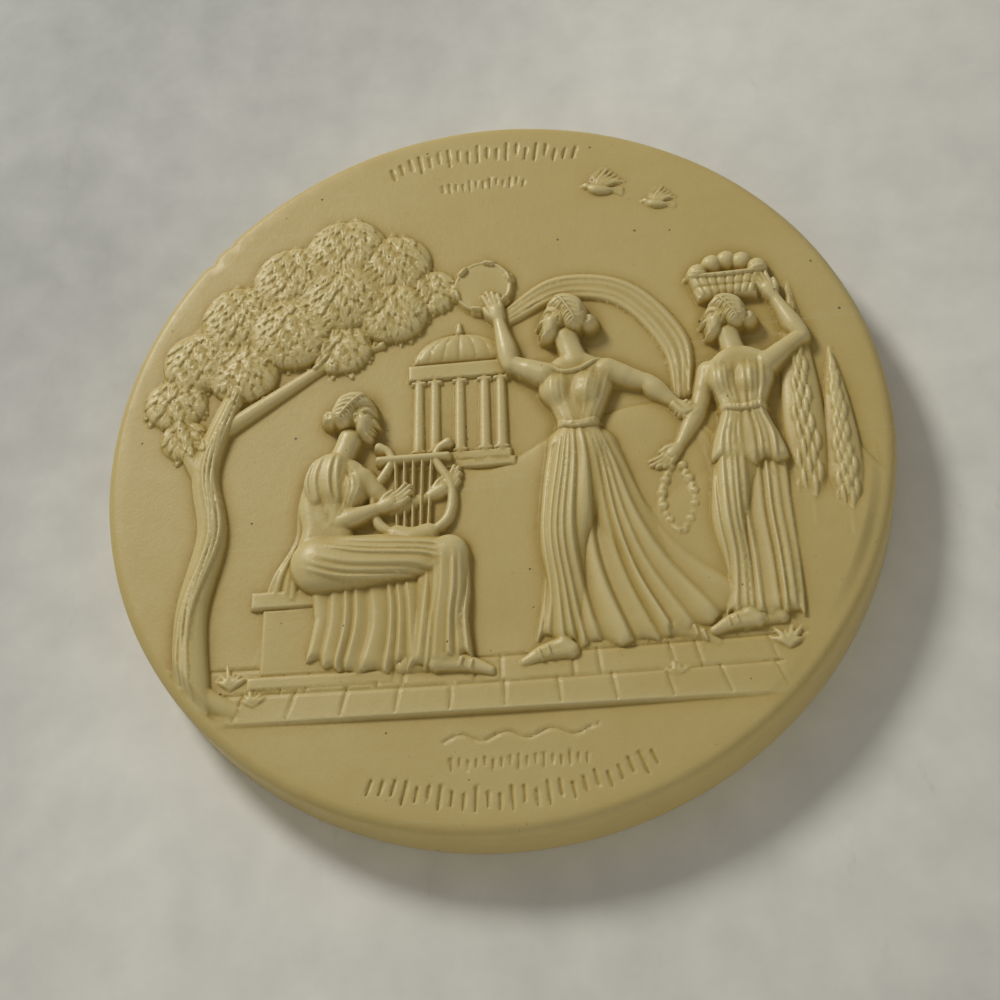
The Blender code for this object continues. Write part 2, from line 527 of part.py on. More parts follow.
def temple(field, x, z, half_width):
    """A small round temple: two steps, a ring of columns, an entablature and a dome."""
    w = half_width
    block(field, x - w - 2.2, x + w + 2.2, z, z + 2.6, 0.5, 0.6, 0.6)
    block(field, x - w - 1, x + w + 1, z + 2.4, z + 5, 0.7, 0.6, 0.6)
    block(field, x - w, x + w, z + 4.8, z + 28, -0.3, 0.7, 0.8)
    for k in range(5):
        column = x + w * 0.88 * math.sin((k - 2) * 0.6) / math.sin(1.2)
        stroke(field, [(column, z + 6, 1.6, 0.5), (column, z + 27, 1.3, 0.5)], 0.7, 0.05, 3)
    block(field, x - w - 1.4, x + w + 1.4, z + 28, z + 33, 0.6, 0.8, 0.7)
    turns = np.linspace(0, math.pi, 17)
    dome = [(x + w * math.cos(a), z + 33.2 + w * 0.72 * math.sin(a)) for a in turns]
    swell(field, dome, 0.3, 1.5, 5, 0.05)
    stroke(field, [(x, z + 43, 1.0, 0.6), (x, z + 45.5, 0.5, 0.6)], 0.9, 0.05, 2)


def floor(field):
    """Ground that rises to a straight ledge, whose step dies out at its ends, with a flat segment below."""
    x, z = np.meshgrid(field.line, field.line)
    taper = np.clip(1 - (x / 84) ** 2, 0, 1)
    bank = smooth_step((GROUND_LINE + FLOOR_DEPTH - z) / FLOOR_DEPTH)
    step = smooth_step((z - GROUND_LINE + 0.6) / 1.2)
    ledge = LEDGE_HEIGHT / RELIEF_HEIGHT * DRAWN_HEIGHT
    field.z += ledge * taper * bank * step


def carving():
    """The whole scene as heights above the ground, fading to nothing at the border."""
    field = Field()
    hills(field)
    temple(field, -8, -7, 13)
    floor(field)
    tree(field)
    musician(field, -42, GROUND_LINE + 9, 104, 1)
    dancer(field, 24, GROUND_LINE + 11, 106, -1)
    bearer(field, 68, GROUND_LINE + 16, 96, -1)
    return field


# The casting

def face_radius():
    """Where the flat of the face ends and the rounding of the rim begins."""
    return DIAMETER / 2 - RIM_THICKNESS * math.tan(RIM_DRAFT) - RIM_ROUNDING


def face_depth(x, z):
    """How far the carved surface stands out from the back at x and z, in metres."""
    radius = face_radius()
    distance = np.hypot(x, z)
    drawn = DRAWN_RADIUS / (DIAMETER / 2)
    fade = smooth_step((radius - distance) / BORDER_WIDTH)
    relief = carving().height(x * drawn, z * drawn) * RELIEF_HEIGHT / DRAWN_HEIGHT
    dish = DISH_DEPTH * np.clip(1 - (distance / radius) ** 2, 0, 1)
    return RIM_THICKNESS + relief * fade - dish


def square_to_disc(u, v):
    """Maps the square from -1 to 1 onto the unit disc, ring by ring."""
    reach = np.maximum(np.abs(u), np.abs(v))
    sideways = np.abs(u) >= np.abs(v)
    turn = np.where(sideways, v / np.where(u == 0, 1, u), 2 * np.sign(v) - u / np.where(v == 0, 1, v))
    turn = (turn + np.where(sideways & (u < 0), 4, 0)) * math.pi / 4
    turn = np.where(~sideways & (v < 0), (-2 - u / np.where(v == 0, 1, v)) * math.pi / 4, turn)
    return reach * np.cos(turn), reach * np.sin(turn)


def carved_surface():
    """The open carved surface as a mesh, dense where it is carved and coarse where it is plain."""
    mesh = bpy.data.meshes.new("carved_surface")
    bm = bmesh.new()
    bmesh.ops.create_grid(bm, x_segments=SURFACE_DIVISIONS, y_segments=SURFACE_DIVISIONS, size=1)
    bm.verts.ensure_lookup_table()
    flat = np.array([vert.co[:2] for vert in bm.verts])
    x, z = square_to_disc(flat[:, 0], flat[:, 1])
    inner = face_radius() - BORDER_WIDTH / 4
    depth = face_depth(x * inner, z * inner)
    for vert, px, pz, d in zip(bm.verts, x, z, depth):
        vert.co = (px * inner, -d, pz * inner)
    close_border(bm)
    bmesh.ops.triangulate(bm, faces=bm.faces)
    bm.to_mesh(mesh)
    bm.free()
    return thinned(mesh)


def close_border(bm):
    """Joins the grid's edge to an even ring of RIM_SEGMENTS points where the rim's rounding begins."""
    edge = sorted((vert for vert in bm.verts if vert.is_boundary), key=lambda vert: angle_of(vert.co))
    ring = [bm.verts.new(rim_point(k, face_radius(), RIM_THICKNESS)) for k in range(RIM_SEGMENTS)]
    i = k = 0
    while i < len(edge) or k < RIM_SEGMENTS:
        here, there = edge[i % len(edge)], ring[k % RIM_SEGMENTS]
        next_edge = (i + 1) / len(edge)
        next_ring = (k + 1) / RIM_SEGMENTS
        if k == RIM_SEGMENTS or (i < len(edge) and next_edge <= next_ring):
            bm.faces.new((here, there, edge[(i + 1) % len(edge)]))
            i += 1
        else:
            bm.faces.new((here, there, ring[(k + 1) % RIM_SEGMENTS]))
            k += 1
    bmesh.ops.recalc_face_normals(bm, faces=bm.faces)


def angle_of(point):
    """The point's angle round the plaque's axis, from 0 to a full turn."""
    return round(math.atan2(point.z, point.x), 9) % (2 * math.pi)


def rim_point(k, radius, depth):
    """The point of ring segment k at a radius and a distance out from the back."""
    turn = 2 * math.pi * k / RIM_SEGMENTS
    return (radius * math.cos(turn), -depth, radius * math.sin(turn))


def thinned(mesh):
    """The mesh with its triangles spent where the surface bends, and its border left as it is."""
    shell = bpy.data.objects.new("carved_surface", mesh)
    bpy.context.collection.objects.link(shell)
    inside = shell.vertex_groups.new(name="inside")
    count = len(mesh.vertices)
    inside.add(list(range(count - RIM_SEGMENTS)), 1.0, "REPLACE")
    thin = shell.modifiers.new("Thin", "DECIMATE")
    thin.vertex_group = "inside"
    thin.vertex_group_factor = 1.0
    thin.ratio = SURFACE_TRIANGLES / len(mesh.polygons)
    evaluated = shell.evaluated_get(bpy.context.evaluated_depsgraph_get())
    result = bpy.data.meshes.new_from_object(evaluated)
    bpy.data.objects.remove(shell)
    return result


def rim_profile():
    """Radius and distance out from the back, from the face's edge round the rim to the back's edge."""
    front = face_radius()
    draft = math.tan(RIM_DRAFT)
    turns = (math.pi / 2 * (k + 1) / ROUNDING_SEGMENTS for k in range(ROUNDING_SEGMENTS))
    rounding = [(front + RIM_ROUNDING * math.sin(a), RIM_THICKNESS - RIM_ROUNDING * (1 - math.cos(a)))
                for a in turns]
    rounding = [(radius + draft * (RIM_THICKNESS - depth), depth) for radius, depth in rounding]
    return rounding + [(DIAMETER / 2, 0.0)]


def casting():
    """The closed casting: the carved surface, the rim turned down from its border, and the flat back."""
    bm = bmesh.new()
    bm.from_mesh(carved_surface())
    for radius, depth in rim_profile():
        border = [edge for edge in bm.edges if edge.is_boundary]
        moved = bmesh.ops.extrude_edge_only(bm, edges=border)["geom"]
        for vert in (item for item in moved if isinstance(item, bmesh.types.BMVert)):
            scale = radius / math.hypot(vert.co.x, vert.co.z)
            vert.co = (vert.co.x * scale, -depth, vert.co.z * scale)
    bmesh.ops.contextual_create(bm, geom=[edge for edge in bm.edges if edge.is_boundary])
    bmesh.ops.recalc_face_normals(bm, faces=bm.faces)
    mesh = bpy.data.meshes.new("relief_plaque")
    bm.to_mesh(mesh)
    bm.free()
    return mesh


def pocket_cutter(collection):
    """The box that cuts the hanging pocket. Its ceiling rests on the nail."""
    overcut = 0.002
    bpy.ops.mesh.primitive_cube_add(size=1)
    cutter = bpy.context.object
    cutter.name = "pocket_cutter"
    cutter.scale = (POCKET_WIDTH, POCKET_DEPTH + overcut, POCKET_HEIGHT)
    cutter.location = (0, (overcut - POCKET_DEPTH) / 2, POCKET_CEILING - POCKET_HEIGHT / 2)
    cutter.hide_render = True
    cutter.display_type = "WIRE"
    for owner in cutter.users_collection:
        owner.objects.unlink(cutter)
    collection.objects.link(cutter)
    return cutter


def cast_stone():
    """Cream cast stone with a waxed surface."""
    material = bpy.data.materials.new("cast_stone")
    material.use_nodes = True
    shader = material.node_tree.nodes["Principled BSDF"]
    shader.inputs["Base Color"].default_value = (*COLOUR, 1)
    shader.inputs["Roughness"].default_value = ROUGHNESS
    shader.inputs["Metallic"].default_value = 0.0
    return material


def main():
    """Builds the plaque in an emptied scene."""
    for thing in list(bpy.data.objects):
        bpy.data.objects.remove(thing)
    parts = bpy.data.collections.new("relief_plaque")
    cutters = bpy.data.collections.new("cutters")
    for collection in (parts, cutters):
        bpy.context.scene.collection.children.link(collection)
    plaque = bpy.data.objects.new("relief_plaque", casting())
    plaque.data.materials.append(cast_stone())
    parts.objects.link(plaque)
    plaque.data.shade_smooth()
    plaque.data.set_sharp_from_angle(angle=math.radians(50))
    pocket = plaque.modifiers.new("Pocket", "BOOLEAN")
    pocket.operation = "DIFFERENCE"
    pocket.solver = "EXACT"
    pocket.object = pocket_cutter(cutters)


main()
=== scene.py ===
"""The look of a round cream wall plaque with a garden scene in relief.

The carving is drawn as a height field in millimetres: swept strokes, swollen outlines and pressed hollows.
They are the solid's own forms with the finer work added. The plaque hangs upright: +Z is up, it faces -Y.
"""
import math

import bmesh
import bpy
import numpy as np
from mathutils import Matrix, Vector

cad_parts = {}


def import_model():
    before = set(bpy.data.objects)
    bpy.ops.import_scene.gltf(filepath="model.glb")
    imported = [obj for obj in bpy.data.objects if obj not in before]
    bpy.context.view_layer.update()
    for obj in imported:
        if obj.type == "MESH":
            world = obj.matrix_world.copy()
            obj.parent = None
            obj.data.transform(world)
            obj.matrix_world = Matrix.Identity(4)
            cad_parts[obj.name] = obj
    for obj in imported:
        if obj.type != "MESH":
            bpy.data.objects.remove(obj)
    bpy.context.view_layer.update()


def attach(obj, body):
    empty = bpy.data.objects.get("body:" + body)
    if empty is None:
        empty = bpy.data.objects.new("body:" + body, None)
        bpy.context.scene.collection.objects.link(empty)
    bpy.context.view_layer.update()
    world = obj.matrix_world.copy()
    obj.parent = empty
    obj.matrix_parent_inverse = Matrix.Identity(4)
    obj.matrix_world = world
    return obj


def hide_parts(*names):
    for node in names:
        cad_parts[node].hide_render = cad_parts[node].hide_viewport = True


# Sizes of the casting, in metres
DIAMETER = 0.216
RIM_THICKNESS = 0.016
RIM_ROUNDING = 0.003
RIM_DRAFT = math.radians(2.5)
DISH_DEPTH = 0.002
RELIEF_HEIGHT = 0.008
LEDGE_HEIGHT = 0.0015
BORDER_WIDTH = 0.0035

# The hanging pocket in the back, in metres
POCKET_WIDTH = 0.012
POCKET_HEIGHT = 0.009
POCKET_DEPTH = 0.007
POCKET_CEILING = 0.076
POCKET_MIDDLE = POCKET_CEILING - POCKET_HEIGHT / 2
POCKET_SEGMENTS = 32

# The rows of the pocket's outline from its mouth inwards, as how much wider than the pocket and how deep
POCKET_ROWS = [(0.0012, 0.0), (0.0004, 0.0), (0.0001, 0.0001), (0.0, 0.0004), (0.0, POCKET_DEPTH - 0.0008),
               (-0.0002, POCKET_DEPTH - 0.0002), (-0.0008, POCKET_DEPTH)]

# The wear of the rim, in metres: how uneven it is, its back edge's bevel, and chips as angle, size and depth
RIM_UNEVENNESS = 0.00012
BACK_BEVEL = 0.0005
RIM_CHIPS = [(140.5, 0.0022, 0.0145), (136.0, 0.0016, 0.0150)]

# How finely the mesh is divided, how strongly and from how far it is drawn towards each fine place, the step
# that slopes are measured over, and how much the patina counts when the mesh is thinned
RIM_SEGMENTS = 480
ROUNDING_SEGMENTS = 7
SIDE_ROWS = 10
SURFACE_DIVISIONS = 840
SURFACE_TRIANGLES = 174000
PULL = 0.55
PULL_REACH = 2.2
NORMAL_STEP = 0.00012
HOLLOW_WEIGHT = 0.0003

# The drawing of the carving, in millimetres. A fine place is drawn again round each head, as middle and reach
DRAWN_RADIUS = 108.0
DRAWN_PER_METRE = DRAWN_RADIUS / (DIAMETER / 2)
DRAWN_HEIGHT = 8.0
RASTER = 0.2
FINE_RASTER = 0.08
FINE_PLACES = [((21, 35.5), 10.5), ((65, 31.5), 10.0), ((-36.5, 10.0), 10.5)]
GROUND_LINE = -76.0
FLOOR_DEPTH = 26.0
EDGE_FALL = 3.0
LONGEST_SIDE = 1.2

# How far out a stroke's sides go down, as a share of its radius, how far round it is worked out, and the
# share that stands for farther away than any stroke reaches
SIDE_SHARE = 1.3
WORKED_SHARE = 1.35
FAR_SHARE = 9.0

# How far round a point its surroundings reach in the hollow map, in millimetres, and what each counts
HOLLOW_REACHES = [(0.7, 2.2), (2.6, 0.9)]

# The photograph's view of the plaque
IMAGE_SIZE = 1000
SENSOR_WIDTH = 36
NEAR_CLIP = 0.01
FOCAL_PIXELS = 1500.0
CAMERA_DISTANCE = 0.420
CAMERA_AZIMUTH = math.radians(7.5)
CAMERA_ELEVATION = math.radians(-26.0)
CAMERA_ROLL = math.radians(-1.2)
CENTRE_OFFSET_PIXELS = (-3.0, 32.8)

# Linear colours, the patina's from the rubbed crests to the deepest hollows
PATINA = [(0.0, (0.76, 0.635, 0.32)), (0.3, (0.665, 0.53, 0.22)), (0.55, (0.59, 0.44, 0.148)),
          (0.75, (0.48, 0.34, 0.085)), (1.0, (0.34, 0.225, 0.045))]
STREAK = (0.65, 0.56, 0.29)
# Nearly black: painted shade inside each pinhole's pit, and also the colour of the dirt specks
PIT_SHADE_AND_DIRT = (0.07, 0.045, 0.018)
GRAIN = (0.36, 0.29, 0.10)
WALL_SHADES = [(0.3, (0.39, 0.39, 0.365)), (0.66, (0.90, 0.885, 0.81))]
SCUFF = (0.33, 0.31, 0.28)

# The scales of the looks' patterns, in features to a metre
BLOTCH_SCALE = 28
PATCH_SCALE = 140
BUMP_SCALE = 420
GRAIN_SCALE = 1500
PIT_SCALE = 185
SPECK_SCALE = 520
STREAK_SCALES = (22, 22, 620)
SCUFF_SCALES = (40, 1, 14)

# The stage, in metres: the wall's opening behind the plaque, its outer radius, its gap, and the floor
WALL_OPENING = DIAMETER / 2 - 0.0004
WALL_REACH = 4.0
WALL_GAP = 0.0001
WALL_SEGMENTS = 96
FLOOR_CORNERS = [(-4, -4, -1.5), (4, -4, -1.5), (4, 2, -1.5), (-4, 2, -1.5)]

# The lights, facing the plaque's middle, as name, place, width, power and colour, and the light all round
LIGHTS = [("key", (-0.72, -0.85, 0.90), 0.36, 11.4, (1.0, 0.99, 0.95)),
          ("fill", (0.35, -0.5, -1.2), 0.9, 2.0, (1.0, 0.98, 0.94)),
          ("rear", (0.3, 1.6, 0.5), 1.2, 14.0, (1.0, 1.0, 1.0))]
WORLD_COLOUR = (1.0, 0.98, 0.94, 1)
WORLD_STRENGTH = 0.22


# Drawing tools

def spline(rows, steps):
    """Rows of numbers joined by a smooth curve through each of them."""
    rows = np.asarray(rows, float)
    if len(rows) == 2:
        t = np.linspace(0, 1, steps + 1)[:, None]
        return rows[0] * (1 - t) + rows[1] * t
    ends = np.vstack([2 * rows[0] - rows[1], rows, 2 * rows[-1] - rows[-2]])
    t = np.arange(steps)[:, None] / steps
    out = []
    for a, b, c, d in zip(ends[:-3], ends[1:-2], ends[2:-1], ends[3:]):
        out.append(b + 0.5 * t * (c - a + t * (2 * a - 5 * b + 4 * c - d + t * (3 * b - a - 3 * c + d))))
    out.append(rows[-1:])
    return np.vstack(out)


def ring_spline(points, steps=4):
    """A closed smooth curve through the points."""
    points = np.asarray(points, float)
    wrapped = np.vstack([points[-2:], points, points[:2]])
    return spline(wrapped, steps)[2 * steps:(len(points) + 2) * steps]


def higher(a, b, blend):
    """The higher of two surfaces, with a fillet about blend wide where they meet."""
    near = np.clip(1 - np.abs(a - b) / blend, 0, 1)
    return np.maximum(a, b) + near * near * blend / 4


def smooth_step(t):
    """0 below t = 0, 1 above t = 1 and an even curve between them."""
    t = np.clip(t, 0, 1)
    return t * t * (3 - 2 * t)


def blurred(values, reach):
    """The raster averaged twice over a square of reach points each way."""
    for _ in range(2):
        for axis in (0, 1):
            pad = [(0, 0), (0, 0)]
            pad[axis] = (reach + 1, reach)
            total = np.moveaxis(np.cumsum(np.pad(values, pad, mode="edge"), axis=axis), axis, 0)
            values = np.moveaxis((total[2 * reach + 1:] - total[:-2 * reach - 1]) / (2 * reach + 1), 0, axis)
    return values


class Field:
    """The carving's heights z on a square raster of x across and y up the plaque, in millimetres."""

    def __init__(self, centre=(0.0, 0.0), half=DRAWN_RADIUS, step=RASTER):
        self.count = int(round(2 * half / step)) + 1
        self.step = step
        self.low = np.array(centre) - half
        self.half = half
        self.x = self.low[0] + step * np.arange(self.count)
        self.y = self.low[1] + step * np.arange(self.count)
        self.z = np.zeros((self.count, self.count))

    def window(self, low, high):
        """The raster's slices and its x and z between two corners, or None outside it."""
        i0, j0 = (max(0, int((v - edge) / self.step)) for v, edge in zip(low, self.low))
        i1, j1 = (min(self.count, int((v - edge) / self.step) + 2) for v, edge in zip(high, self.low))
        if i1 <= i0 or j1 <= j0:
            return None
        x, z = np.meshgrid(self.x[i0:i1], self.y[j0:j1])
        return (slice(j0, j1), slice(i0, i1)), x, z

    def height(self, x, z):
        """The heights at any points, by linear steps between the raster's points."""
        i = np.clip((x - self.low[0]) / self.step, 0, self.count - 1.001)
        j = np.clip((z - self.low[1]) / self.step, 0, self.count - 1.001)
        i0, j0 = i.astype(int), j.astype(int)
        s, t = i - i0, j - j0
        low = self.z[j0, i0] * (1 - s) + self.z[j0, i0 + 1] * s
        high = self.z[j0 + 1, i0] * (1 - s) + self.z[j0 + 1, i0 + 1] * s
        return low * (1 - t) + high * t


def along(field, rows, steps, reach):
    """The nearest point of a path of x, z, radius and lift, for the raster points around it.

    It gives their place in the raster, the distance as a share of the radius there, the radius and the lift.
    """
    path = spline(rows, steps)
    path[:, 2] = np.maximum(path[:, 2], 0.02)
    grow = reach * path[:, 2] + field.step
    got = field.window((path[:, :2] - grow[:, None]).min(0), (path[:, :2] + grow[:, None]).max(0))
    if got is None:
        return None
    place, all_x, all_z = got
    share = np.full(all_x.shape, FAR_SHARE)
    radius = np.ones(all_x.shape)
    lift = np.zeros(all_x.shape)
    for a, b, margin in zip(path[:-1], path[1:], np.maximum(grow[:-1], grow[1:])):
        i0, i1 = np.searchsorted(all_x[0], [min(a[0], b[0]) - margin, max(a[0], b[0]) + margin])
        j0, j1 = np.searchsorted(all_z[:, 0], [min(a[1], b[1]) - margin, max(a[1], b[1]) + margin])
        if i1 <= i0 or j1 <= j0:
            continue
        part = (slice(j0, j1), slice(i0, i1))
        x = all_x[part] - a[0]
        z = all_z[part] - a[1]
        length = max(math.hypot(b[0] - a[0], b[1] - a[1]), 1e-6)
        ux, uz = (b[0] - a[0]) / length, (b[1] - a[1]) / length
        s = x * ux + z * uz
        aside = (z * ux - x * uz) ** 2
        taper = (b[2] - a[2]) / length
        t = s + taper * aside / np.maximum(a[2] + taper * s, 0.3 * min(a[2], b[2]))
        t = np.clip(t / length, 0, 1)
        r = a[2] + (b[2] - a[2]) * t
        new = np.sqrt(aside + (s - t * length) ** 2) / r
        nearer = new < share[part]
        share[part] = np.where(nearer, new, share[part])
        radius[part] = np.where(nearer, r, radius[part])
        lift[part] = np.where(nearer, a[3] + (b[3] - a[3]) * t, lift[part])
    return place, share, radius, lift


def stroke(field, rows, thick=0.7, blend=0.3, steps=8, base=None, square=2):
    """Adds a rounded form along x, z, radius, lift. lift is its edge's height, above base where given.

    square is 2 for a round section and more for a flatter one.
    """
    got = along(field, rows, steps, WORKED_SHARE)
    if got is None:
        return
    place, share, radius, lift = got
    top = lift + thick * radius * np.sqrt(np.clip(1 - share ** square, 0, 1))
    top = top - EDGE_FALL * radius * np.clip(share - 1, 0, None)
    if base is not None:
        top = top + base[place]
    old = field.z[place]
    field.z[place] = np.where(share < SIDE_SHARE, higher(old, top, blend), old)


def press(field, rows, height, steps=8):
    """Raises the surface as it stands by height along x, z, radius."""
    got = along(field, [(*row[:3], 0) for row in rows], steps, 1.0)
    if got is not None:
        place, share = got[:2]
        field.z[place] += height * np.clip(1 - share ** 2, 0, 1) ** 2


def filled(outline):
    """The outline with points added so that no side is longer than LONGEST_SIDE."""
    out = []
    for a, b in zip(outline, np.roll(outline, -1, axis=0)):
        n = max(1, math.ceil(math.hypot(*(b - a)) / LONGEST_SIDE))
        out.extend(a + (b - a) * k / n for k in range(n))
    return np.array(out)


def swell(field, outline, lift, dome, width, blend=0.3, fall=EDGE_FALL, skirt=0.6):
    """Fills an outline with a form that rises by dome over width from its edge.

    Beyond the outline its sides slope down by fall, as far out as skirt.
    """
    outline = filled(np.asarray(outline, float))
    got = field.window(outline.min(0) - skirt - 1, outline.max(0) + skirt + 1)
    if got is None:
        return
    place, x, z = got
    near = np.full(x.shape, 1e9)
    pull = np.zeros(x.shape)
    within = np.zeros(x.shape, bool)
    for (ax, az), (bx, bz) in zip(outline, np.roll(outline, -1, axis=0)):
        dx, dz = bx - ax, bz - az
        side = max(math.hypot(dx, dz), 1e-9)
        t = np.clip(((x - ax) * dx + (z - az) * dz) / side ** 2, 0, 1)
        near = np.minimum(near, (x - ax - t * dx) ** 2 + (z - az - t * dz) ** 2)
        pull += side / np.maximum((x - ax - dx / 2) ** 2 + (z - az - dz / 2) ** 2, 0.05) ** 1.5
        if az != bz:
            within ^= ((az > z) != (bz > z)) & (x < ax + (z - az) * dx / dz)
    near = np.sqrt(near)
    rounder = np.minimum(near, np.sqrt(2 / pull))
    depth = near + (rounder - near) * np.clip(near / 1.5 - 0.6, 0, 1)
    share = np.where(within, np.clip(depth / width, 0, 1), 0)
    top = lift + dome * np.sqrt(1 - (1 - share) ** 2) - np.where(within, 0, fall * near)
    old = field.z[place]
    field.z[place] = np.where(within | (near < skirt), higher(old, top, blend), old)


def block(field, x0, x1, z0, z1, lift, dome, width):
    """A flat upright block with softened edges."""
    swell(field, [(x0, z0), (x1, z0), (x1, z1), (x0, z1)], lift, dome, width, 0.1)


class Frame:
    """Coordinates of one form: u forward and v up in shares of its size, turned by tilt degrees."""

    def __init__(self, x, z, size, facing=1, tilt=0.0):
        self.x, self.z, self.size, self.facing = x, z, size, facing
        self.cos = math.cos(math.radians(tilt))
        self.sin = math.sin(math.radians(tilt))

    def at(self, u, v):
        """The drawing's x and z at u and v."""
        across = self.facing * self.size * (u * self.cos - v * self.sin)
        return self.x + across, self.z + self.size * (u * self.sin + v * self.cos)

    def rows(self, rows, lift=0.0):
        """Rows of u, v, radius and lift as rows of the drawing, lift being added to each."""
        return [(*self.at(u, v), r * self.size, lift + sum(up)) for u, v, r, *up in rows]

    def flat(self, points):
        """Points of u and v as points of the drawing."""
        return np.array([self.at(u, v) for u, v in points])

    def ring(self, points):
        """A closed smooth curve through points of u and v."""
        return ring_spline(self.flat(points))

    def cuts(self, rows):
        """Rows of u, v and radius as rows of the drawing, for press."""
        return [(*self.at(u, v), r * self.size) for u, v, r in rows]


def between(guides, share):
    """The path at a share of the way across several guide paths."""
    guides = np.asarray(guides, float)
    fine = spline(guides.reshape(len(guides), -1), 24)
    return fine[int(round(share * (len(fine) - 1)))].reshape(guides.shape[1:])


def folds(field, f, guides, count, lift):
    """Cloth folds side by side between guide paths of u, v, lift, each a little unlike the next."""
    last = count - 1
    for k in range(count):
        path = between(guides, k / last)
        low = between(guides, max(0, (k - 0.5) / last))
        high = between(guides, min(1, (k + 0.5) / last))
        gap = np.hypot(*(high - low)[:, :2].T) * (2 if k in (0, last) else 1)
        wide = np.maximum(0.62 * gap * (1 + 0.25 * math.sin(2.3 * k)), 0.004)
        rise = 0.27 * math.sin(1.7 * k + 1.3)
        rows = [(u, v, r, up + rise) for (u, v, up), r in zip(path, wide)]
        stroke(field, f.rows(rows, lift), 0.9, 0.15, 7)


def waved(path, count, depth):
    """A path of u and v with count shallow waves along it, for a hem."""
    path = spline(path, 12)
    share = np.linspace(0, 1, len(path))
    along_path = np.gradient(path, axis=0)
    aside = np.column_stack([along_path[:, 1], -along_path[:, 0]]) / np.hypot(*along_path.T)[:, None]
    swing = np.abs(np.sin(math.pi * count * share + 0.6 * np.sin(9 * share))) - 0.5
    return path + aside * (depth * swing * (0.7 + 0.3 * np.sin(7 * share)))[:, None]


def ribbon_outline(guides):
    """The closed outline between the first and last of several guide paths."""
    first, last = (spline(guide, 8) for guide in (guides[0], guides[-1]))
    return np.vstack([first, last[::-1]])


def pleats(field, f, guides, count, depth, under, seed=0.0, start=0.06, stop=0.001):
    """Presses overlapping pleats along guide paths of u and v into the cloth that stands above under.

    They fade in over the share start of their length and out over the share stop.
    """
    guides = np.asarray(guides, float)
    corners = f.flat(guides.reshape(-1, 2))
    got = field.window(corners.min(0) - 3, corners.max(0) + 3)
    if got is None:
        return
    fine = 0.6 * field.step / f.size
    sideways = int(np.hypot(*np.diff(guides, axis=0).reshape(-1, 2).T).max() * 1.3 / fine) + 2
    lengthways = int(np.hypot(*np.diff(guides, axis=1).reshape(-1, 2).T).max() * 1.3 / fine) + 2
    lines = spline(guides.reshape(len(guides), -1), sideways).reshape(-1, guides.shape[1], 2)
    lines = spline(lines.transpose(1, 0, 2).reshape(guides.shape[1], -1), lengthways)
    lines = lines.reshape(len(lines), -1, 2)
    down, side = np.meshgrid(*(np.linspace(0, 1, n) for n in lines.shape[:2]), indexing="ij")
    sway = 0.012 * down * np.sin(7 * down + 6 * side + seed)
    turn = count * (side + 0.03 * np.sin(16 * side + seed) + sway)
    index = np.floor(turn)
    within = turn - index
    share = smooth_step(within / 0.85) * smooth_step((1 - within) / 0.22)
    size = (0.7 + 0.3 * np.sin(2.4 * index + seed)) * (0.45 + 0.55 * down)
    size *= np.where(index % 2 == 1, 1 - 0.55 * down, 1)
    ends = smooth_step(side / 0.06) * smooth_step((1 - side) / 0.06)
    ends *= smooth_step(down / start) * smooth_step((1 - down) / stop)
    x, z = f.at(lines[..., 0], lines[..., 1])
    i = np.rint((x - field.low[0]) / field.step).astype(int)
    j = np.rint((z - field.low[1]) / field.step).astype(int)
    kept = (i >= 0) & (j >= 0) & (i < field.count) & (j < field.count)
    place = j[kept] * field.count + i[kept]
    value = (depth * size * (share - 0.4) * ends)[kept]
    total, hits = (np.bincount(place, weights, field.count ** 2) for weights in (value, np.ones(len(value))))
    total, hits = (blurred(grid.reshape(field.count, -1), 1) for grid in (total, hits))
    mask = smooth_step((field.z - under) / 0.5)
    field.z += np.where(hits > 0.05, total / np.maximum(hits, 1e-6), 0) * mask


# The parts of a figure

FACE_OUTLINE = [
    (0.27, 0.36), (0.352, 0.25), (0.385, 0.13), (0.385, 0.06), (0.428, -0.03), (0.478, -0.122),
    (0.452, -0.158), (0.40, -0.17), (0.392, -0.195), (0.418, -0.232), (0.388, -0.258), (0.408, -0.29),
    (0.374, -0.335), (0.388, -0.405), (0.33, -0.47), (0.20, -0.455), (0.04, -0.37), (-0.05, -0.22),
    (-0.25, -0.22), (-0.40, -0.05), (-0.45, 0.14), (-0.38, 0.34), (-0.18, 0.475), (0.06, 0.49)]
HAIR_OUTLINE = [
    (0.255, 0.375), (0.30, 0.30), (0.27, 0.235), (0.15, 0.14), (0.06, 0.075), (0.045, -0.02),
    (-0.04, -0.13), (-0.14, -0.235), (-0.30, -0.24), (-0.48, -0.10), (-0.515, 0.12), (-0.43, 0.37),
    (-0.2, 0.53), (0.08, 0.54)]
HEAD_SHARE = 0.135
